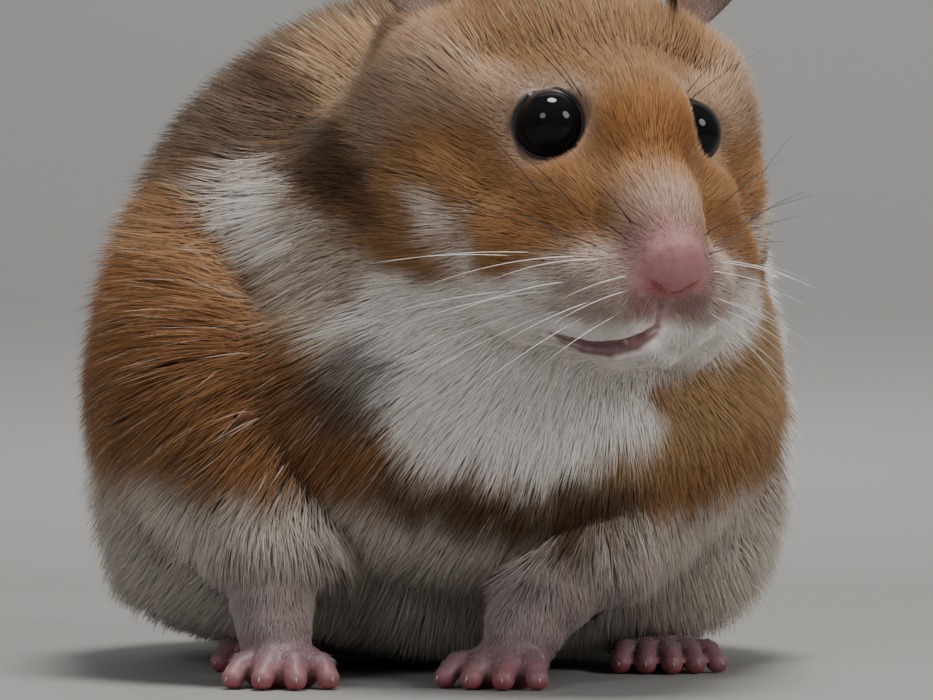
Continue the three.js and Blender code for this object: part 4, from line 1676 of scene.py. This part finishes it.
# %% Share the tufts out into pieces
root_in_head = in_head(roots)
on_head = ellipsoid(root_in_head, (0, 3, -5), (22, 22, 20)) < 0
muzzle_side = root_in_head[:, 1] < -3.5
low_down = roots[:, 2] < 14
front = roots[:, 1] < 20
rear = roots[:, 1] > 52
right = roots[:, 0] < TRUNK_X
regions = {
    "coat_muzzle": on_head & muzzle_side,
    "coat_head_right": on_head & ~muzzle_side & (root_in_head[:, 0] < 0),
    "coat_head_left": on_head & ~muzzle_side & (root_in_head[:, 0] >= 0),
    "coat_belly_and_legs": ~on_head & low_down,
    "coat_chest_right": ~on_head & ~low_down & front & right,
    "coat_chest_left": ~on_head & ~low_down & front & ~right,
    "coat_side_right": ~on_head & ~low_down & ~front & ~rear & right,
    "coat_side_left": ~on_head & ~low_down & ~front & ~rear & ~right,
    "coat_rump": ~on_head & ~low_down & rear,
}
COAT_PIECE_LIMIT = 33000
coat = []
for name, mask in regions.items():
    part = np.flatnonzero(mask & kept)
    parts = np.array_split(part[np.argsort(roots[part, 2])], -(-len(part) // COAT_PIECE_LIMIT))
    for index, share in enumerate(parts):
        coat.append(coat_piece(name if len(parts) == 1 else f"{name}_{index + 1}", share))
print({piece.name: len(piece.data.polygons) for piece in coat})
print("coat triangles:", sum(len(piece.data.polygons) for piece in coat))

# %% [markdown]
# ## Eyes
#
# A hamster's eye is a black bead. It is a fine ball in the solid's place, so dark and so smooth that all
# it shows is the light in the room.

# %% Eyes
def eye_ball(name, side):
    bm = bmesh.new()
    place = Matrix.Translation(Vector(metres(from_head(EYES[side]))))
    bmesh.ops.create_uvsphere(bm, u_segments=48, v_segments=32, radius=EYE_RADIUS * MM, matrix=place)
    mesh = bpy.data.meshes.new(name)
    bm.to_mesh(mesh)
    bm.free()
    mesh.shade_smooth()
    ball = linked(name, mesh)
    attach(ball, "root")
    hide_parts("eye_left" if side > 0 else "eye_right")
    return ball


eyes = [eye_ball("left_eye_ball", 1), eye_ball("right_eye_ball", -1)]
print("eyes:", len(eyes), "balls", 2 * EYE_RADIUS, "mm across")

# %% [markdown]
# ## Claws
#
# Each claw is a short curved cone of pale horn that grows out of the top of the toe and points down.

# %% Claws
CLAW_LENGTH = 1.1
CLAW_RADIUS = 0.22
CLAW_SIDES = 8


def add_tube(bm, points, radii, sides):
    """A closed tube through a list of points, tapered by a list of radii."""
    points = [Vector(point) for point in points]
    rings = []
    for index, (point, radius) in enumerate(zip(points, radii)):
        before, after = points[max(index - 1, 0)], points[min(index + 1, len(points) - 1)]
        turn = (after - before).to_track_quat("Z", "Y").to_matrix().to_4x4()
        place = Matrix.Translation(point) @ turn
        made = bmesh.ops.create_circle(bm, cap_ends=False, segments=sides, radius=radius, matrix=place)
        rings.append(made["verts"])
    for low, high in zip(rings, rings[1:]):
        for index in range(sides):
            following = (index + 1) % sides
            bm.faces.new((low[index], low[following], high[following], high[index]))
    bm.faces.new(list(reversed(rings[0])))
    bm.faces.new(rings[-1])


def claws_of(name, limb):
    bm = bmesh.new()
    steps = 6
    for toe in fan(*limb["toes"]):
        line, radii = [], []
        for step in range(steps + 1):
            t = step / steps
            height = 1.5 + 0.15 * math.sin(math.pi * t) - 0.7 * t * t
            point = toe_point(toe, toe["length"] + t * CLAW_LENGTH, height)
            line.append(metres(from_foot(point, limb)))
            radii.append(CLAW_RADIUS * MM * (1 - t) ** 0.7 + 0.02 * MM)
        add_tube(bm, line, radii, CLAW_SIDES)
    mesh = bpy.data.meshes.new(name)
    bmesh.ops.recalc_face_normals(bm, faces=bm.faces)
    bm.to_mesh(mesh)
    bm.free()
    mesh.shade_smooth()
    piece = linked(name, mesh)
    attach(piece, "root")
    return piece


FOOT_NODES = {
    "front_right": "front_paw_right", "front_left": "front_paw_left",
    "hind_right": "hind_foot_right", "hind_left": "hind_foot_left",
}
claws = []
for key, foot in FOOT_NODES.items():
    piece = claws_of(foot + "_claws", LIMBS[key])
    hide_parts(*[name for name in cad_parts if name.startswith(foot + "_claw")])
    claws.append(piece)
print("claws:", {piece.name: len(piece.data.polygons) for piece in claws})

# %% [markdown]
# ## Whiskers
#
# Whiskers stand in rows on the pad beside the nose, longest at the back, with two or three over each eye.
# The lower ones are white, and the upper ones near the eye are black. Each is a long tapered tube that
# sweeps back along the cheek and sags.

# %% Whiskers
WHISKER_ROWS = [
    # height on the pad, count, dark, rise of the sweep
    (-7.4, 3, True, 0.95),
    (-9.2, 4, True, 0.5),
    (-11.4, 5, False, -0.02),
    (-13.2, 5, False, -0.2),
    (-15.0, 4, False, -0.42),
]


def whisker_line(root, direction, length, sag, steps=12):
    line = []
    for step in range(steps + 1):
        t = step / steps
        line.append(root + direction * length * t + np.array([0, 0, -sag * length * t * t]))
    return line


def add_whisker(bm, root, direction, length, radius, sag):
    line = [metres(from_head(point)) for point in whisker_line(root, direction, length, sag)]
    radii = [radius * MM * (1 - 0.85 * step / 12) for step in range(13)]
    add_tube(bm, line, radii, 5)


white, dark = bmesh.new(), bmesh.new()
for side in (1, -1):
    for height, count, is_dark, rise in WHISKER_ROWS:
        for index in range(count):
            t = index / max(count - 1, 1)
            place = [(side * (4.2 + 4.4 * t), -11.5 + 5.2 * t, height + 0.4 * rng.normal())]
            root = laid_on(head_skin, place, 0.1)[0]
            outward = side * (0.95 + 0.1 * rng.normal())
            out = np.array([outward, -0.28 + 0.75 * t, rise + 0.06 * rng.normal()])
            length = (9 + 9 * t) * rng.uniform(0.85, 1.1)
            target = dark if is_dark else white
            add_whisker(target, root, out / np.linalg.norm(out), length, 0.065, 0.12 + 0.1 * rng.random())
    for spread in (-0.25, 0.15):
        root = laid_on(head_skin, [(side * 6.2, -1.8 + 4 * spread, 4.0)], 0.1)[0]
        out = np.array([side * 0.7, 0.1 + spread, 0.75])
        add_whisker(dark, root, out / np.linalg.norm(out), 9.5, 0.05, 0.15)


def whisker_piece(name, bm):
    mesh = bpy.data.meshes.new(name)
    bmesh.ops.recalc_face_normals(bm, faces=bm.faces)
    bm.to_mesh(mesh)
    bm.free()
    mesh.shade_smooth()
    piece = linked(name, mesh)
    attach(piece, "root")
    return piece


white_whiskers = whisker_piece("white_whiskers", white)
dark_whiskers = whisker_piece("dark_whiskers", dark)
print("whiskers:", len(white_whiskers.data.polygons) + len(dark_whiskers.data.polygons), "faces")

# %% [markdown]
# ## Materials
#
# The skin and the coat read the colours painted on their points. One shared effect, a mottling, breaks
# both up so that no patch is flat. Skin is soft and slightly moist, hair has a dull sheen, eyes are wet,
# claws are horn.


# %% Shared mottling
def mottling_group():
    """Colour in, and colour out varied by noise at a given scale and strength."""
    group = bpy.data.node_groups.new("mottling", "ShaderNodeTree")
    group.interface.new_socket("Colour", in_out="INPUT", socket_type="NodeSocketColor")
    scale = group.interface.new_socket("Scale", in_out="INPUT", socket_type="NodeSocketFloat")
    scale.default_value = 400
    strength = group.interface.new_socket("Strength", in_out="INPUT", socket_type="NodeSocketFloat")
    strength.default_value = 0.2
    group.interface.new_socket("Colour", in_out="OUTPUT", socket_type="NodeSocketColor")
    group.interface.new_socket("Height", in_out="OUTPUT", socket_type="NodeSocketFloat")
    nodes, links = group.nodes, group.links
    inputs, outputs = nodes.new("NodeGroupInput"), nodes.new("NodeGroupOutput")
    place = nodes.new("ShaderNodeTexCoord")
    grain = nodes.new("ShaderNodeTexNoise")
    grain.inputs["Detail"].default_value = 4
    links.new(place.outputs["Object"], grain.inputs["Vector"])
    links.new(inputs.outputs["Scale"], grain.inputs["Scale"])
    centred = nodes.new("ShaderNodeMath")
    centred.operation = "SUBTRACT"
    centred.inputs[1].default_value = 0.5
    links.new(grain.outputs["Fac"], centred.inputs[0])
    factor = nodes.new("ShaderNodeMath")
    factor.operation = "MULTIPLY_ADD"
    factor.inputs[2].default_value = 1.0
    links.new(centred.outputs[0], factor.inputs[0])
    links.new(inputs.outputs["Strength"], factor.inputs[1])
    varied = nodes.new("ShaderNodeVectorMath")
    varied.operation = "SCALE"
    links.new(inputs.outputs["Colour"], varied.inputs[0])
    links.new(factor.outputs[0], varied.inputs["Scale"])
    links.new(varied.outputs[0], outputs.inputs["Colour"])
    links.new(grain.outputs["Fac"], outputs.inputs["Height"])
    return group


MOTTLING = mottling_group()


def mottled(material, scale, strength, attribute=None, colour=None):
    """Feeds a material's colour through the mottling and returns its group node."""
    tree = material.node_tree
    group = tree.nodes.new("ShaderNodeGroup")
    group.node_tree = MOTTLING
    group.inputs["Scale"].default_value = scale
    group.inputs["Strength"].default_value = strength
    if attribute:
        source = tree.nodes.new("ShaderNodeAttribute")
        source.attribute_name = attribute
        tree.links.new(source.outputs["Color"], group.inputs["Colour"])
    else:
        group.inputs["Colour"].default_value = (*colour, 1)
    tree.links.new(group.outputs["Colour"], tree.nodes["Principled BSDF"].inputs["Base Color"])
    return group


def bumped(material, height, strength, distance):
    tree = material.node_tree
    bump = tree.nodes.new("ShaderNodeBump")
    bump.inputs["Strength"].default_value = strength
    bump.inputs["Distance"].default_value = distance
    tree.links.new(height, bump.inputs["Height"])
    tree.links.new(bump.outputs["Normal"], tree.nodes["Principled BSDF"].inputs["Normal"])

# %% [markdown]
# ## The finishes
#
# Each finish differs from the next in how it takes light more than in its colour. Light enters skin and
# comes out again beside the place, which the subsurface values give. Hair has a faint sheen and almost no
# gloss, the eye is black and as smooth as water, and claws and whiskers shine a little. The colours of
# the skin and coat come from the painted points.

# %% Materials
skin_material = plain_material("skin", (0.5, 0.35, 0.3), 0.5)
grain = mottled(skin_material, 1500, 0.5, attribute="tint")
bumped(skin_material, grain.outputs["Height"], 0.6, 0.00012)
shader = skin_material.node_tree.nodes["Principled BSDF"]
shader.inputs["Subsurface Weight"].default_value = 0.25
shader.inputs["Subsurface Radius"].default_value = (1.0, 0.35, 0.25)
shader.inputs["Subsurface Scale"].default_value = 0.0008
skin.data.materials.append(skin_material)

coat_material = plain_material("coat_hair", (0.4, 0.3, 0.2), 0.6)
mottled(coat_material, 700, 0.35, attribute="tint")
shader = coat_material.node_tree.nodes["Principled BSDF"]
shader.inputs["Specular IOR Level"].default_value = 0.06
shader.inputs["Sheen Weight"].default_value = 0.06
shader.inputs["Sheen Roughness"].default_value = 0.4
for piece in coat:
    piece.data.materials.append(coat_material)

eye_material = plain_material("wet_eye", (0.005, 0.005, 0.006), 0.06)
mottled(eye_material, 300, 0.4, colour=(0.005, 0.005, 0.006))
eye_material.node_tree.nodes["Principled BSDF"].inputs["IOR"].default_value = 1.25
for ball in eyes:
    ball.data.materials.append(eye_material)

claw_material = plain_material("horn", (0.50, 0.40, 0.36), 0.35)
mottled(claw_material, 2500, 0.3, colour=(0.50, 0.40, 0.36))
for piece in claws:
    piece.data.materials.append(claw_material)

white_hair = plain_material("white_whisker", (0.75, 0.72, 0.68), 0.4)
mottled(white_hair, 300, 0.2, colour=(0.75, 0.72, 0.68))
white_whiskers.data.materials.append(white_hair)
dark_hair = plain_material("dark_whisker", (0.03, 0.022, 0.02), 0.4)
mottled(dark_hair, 300, 0.2, colour=(0.03, 0.022, 0.02))
dark_whiskers.data.materials.append(dark_hair)
print("materials:", len(bpy.data.materials))
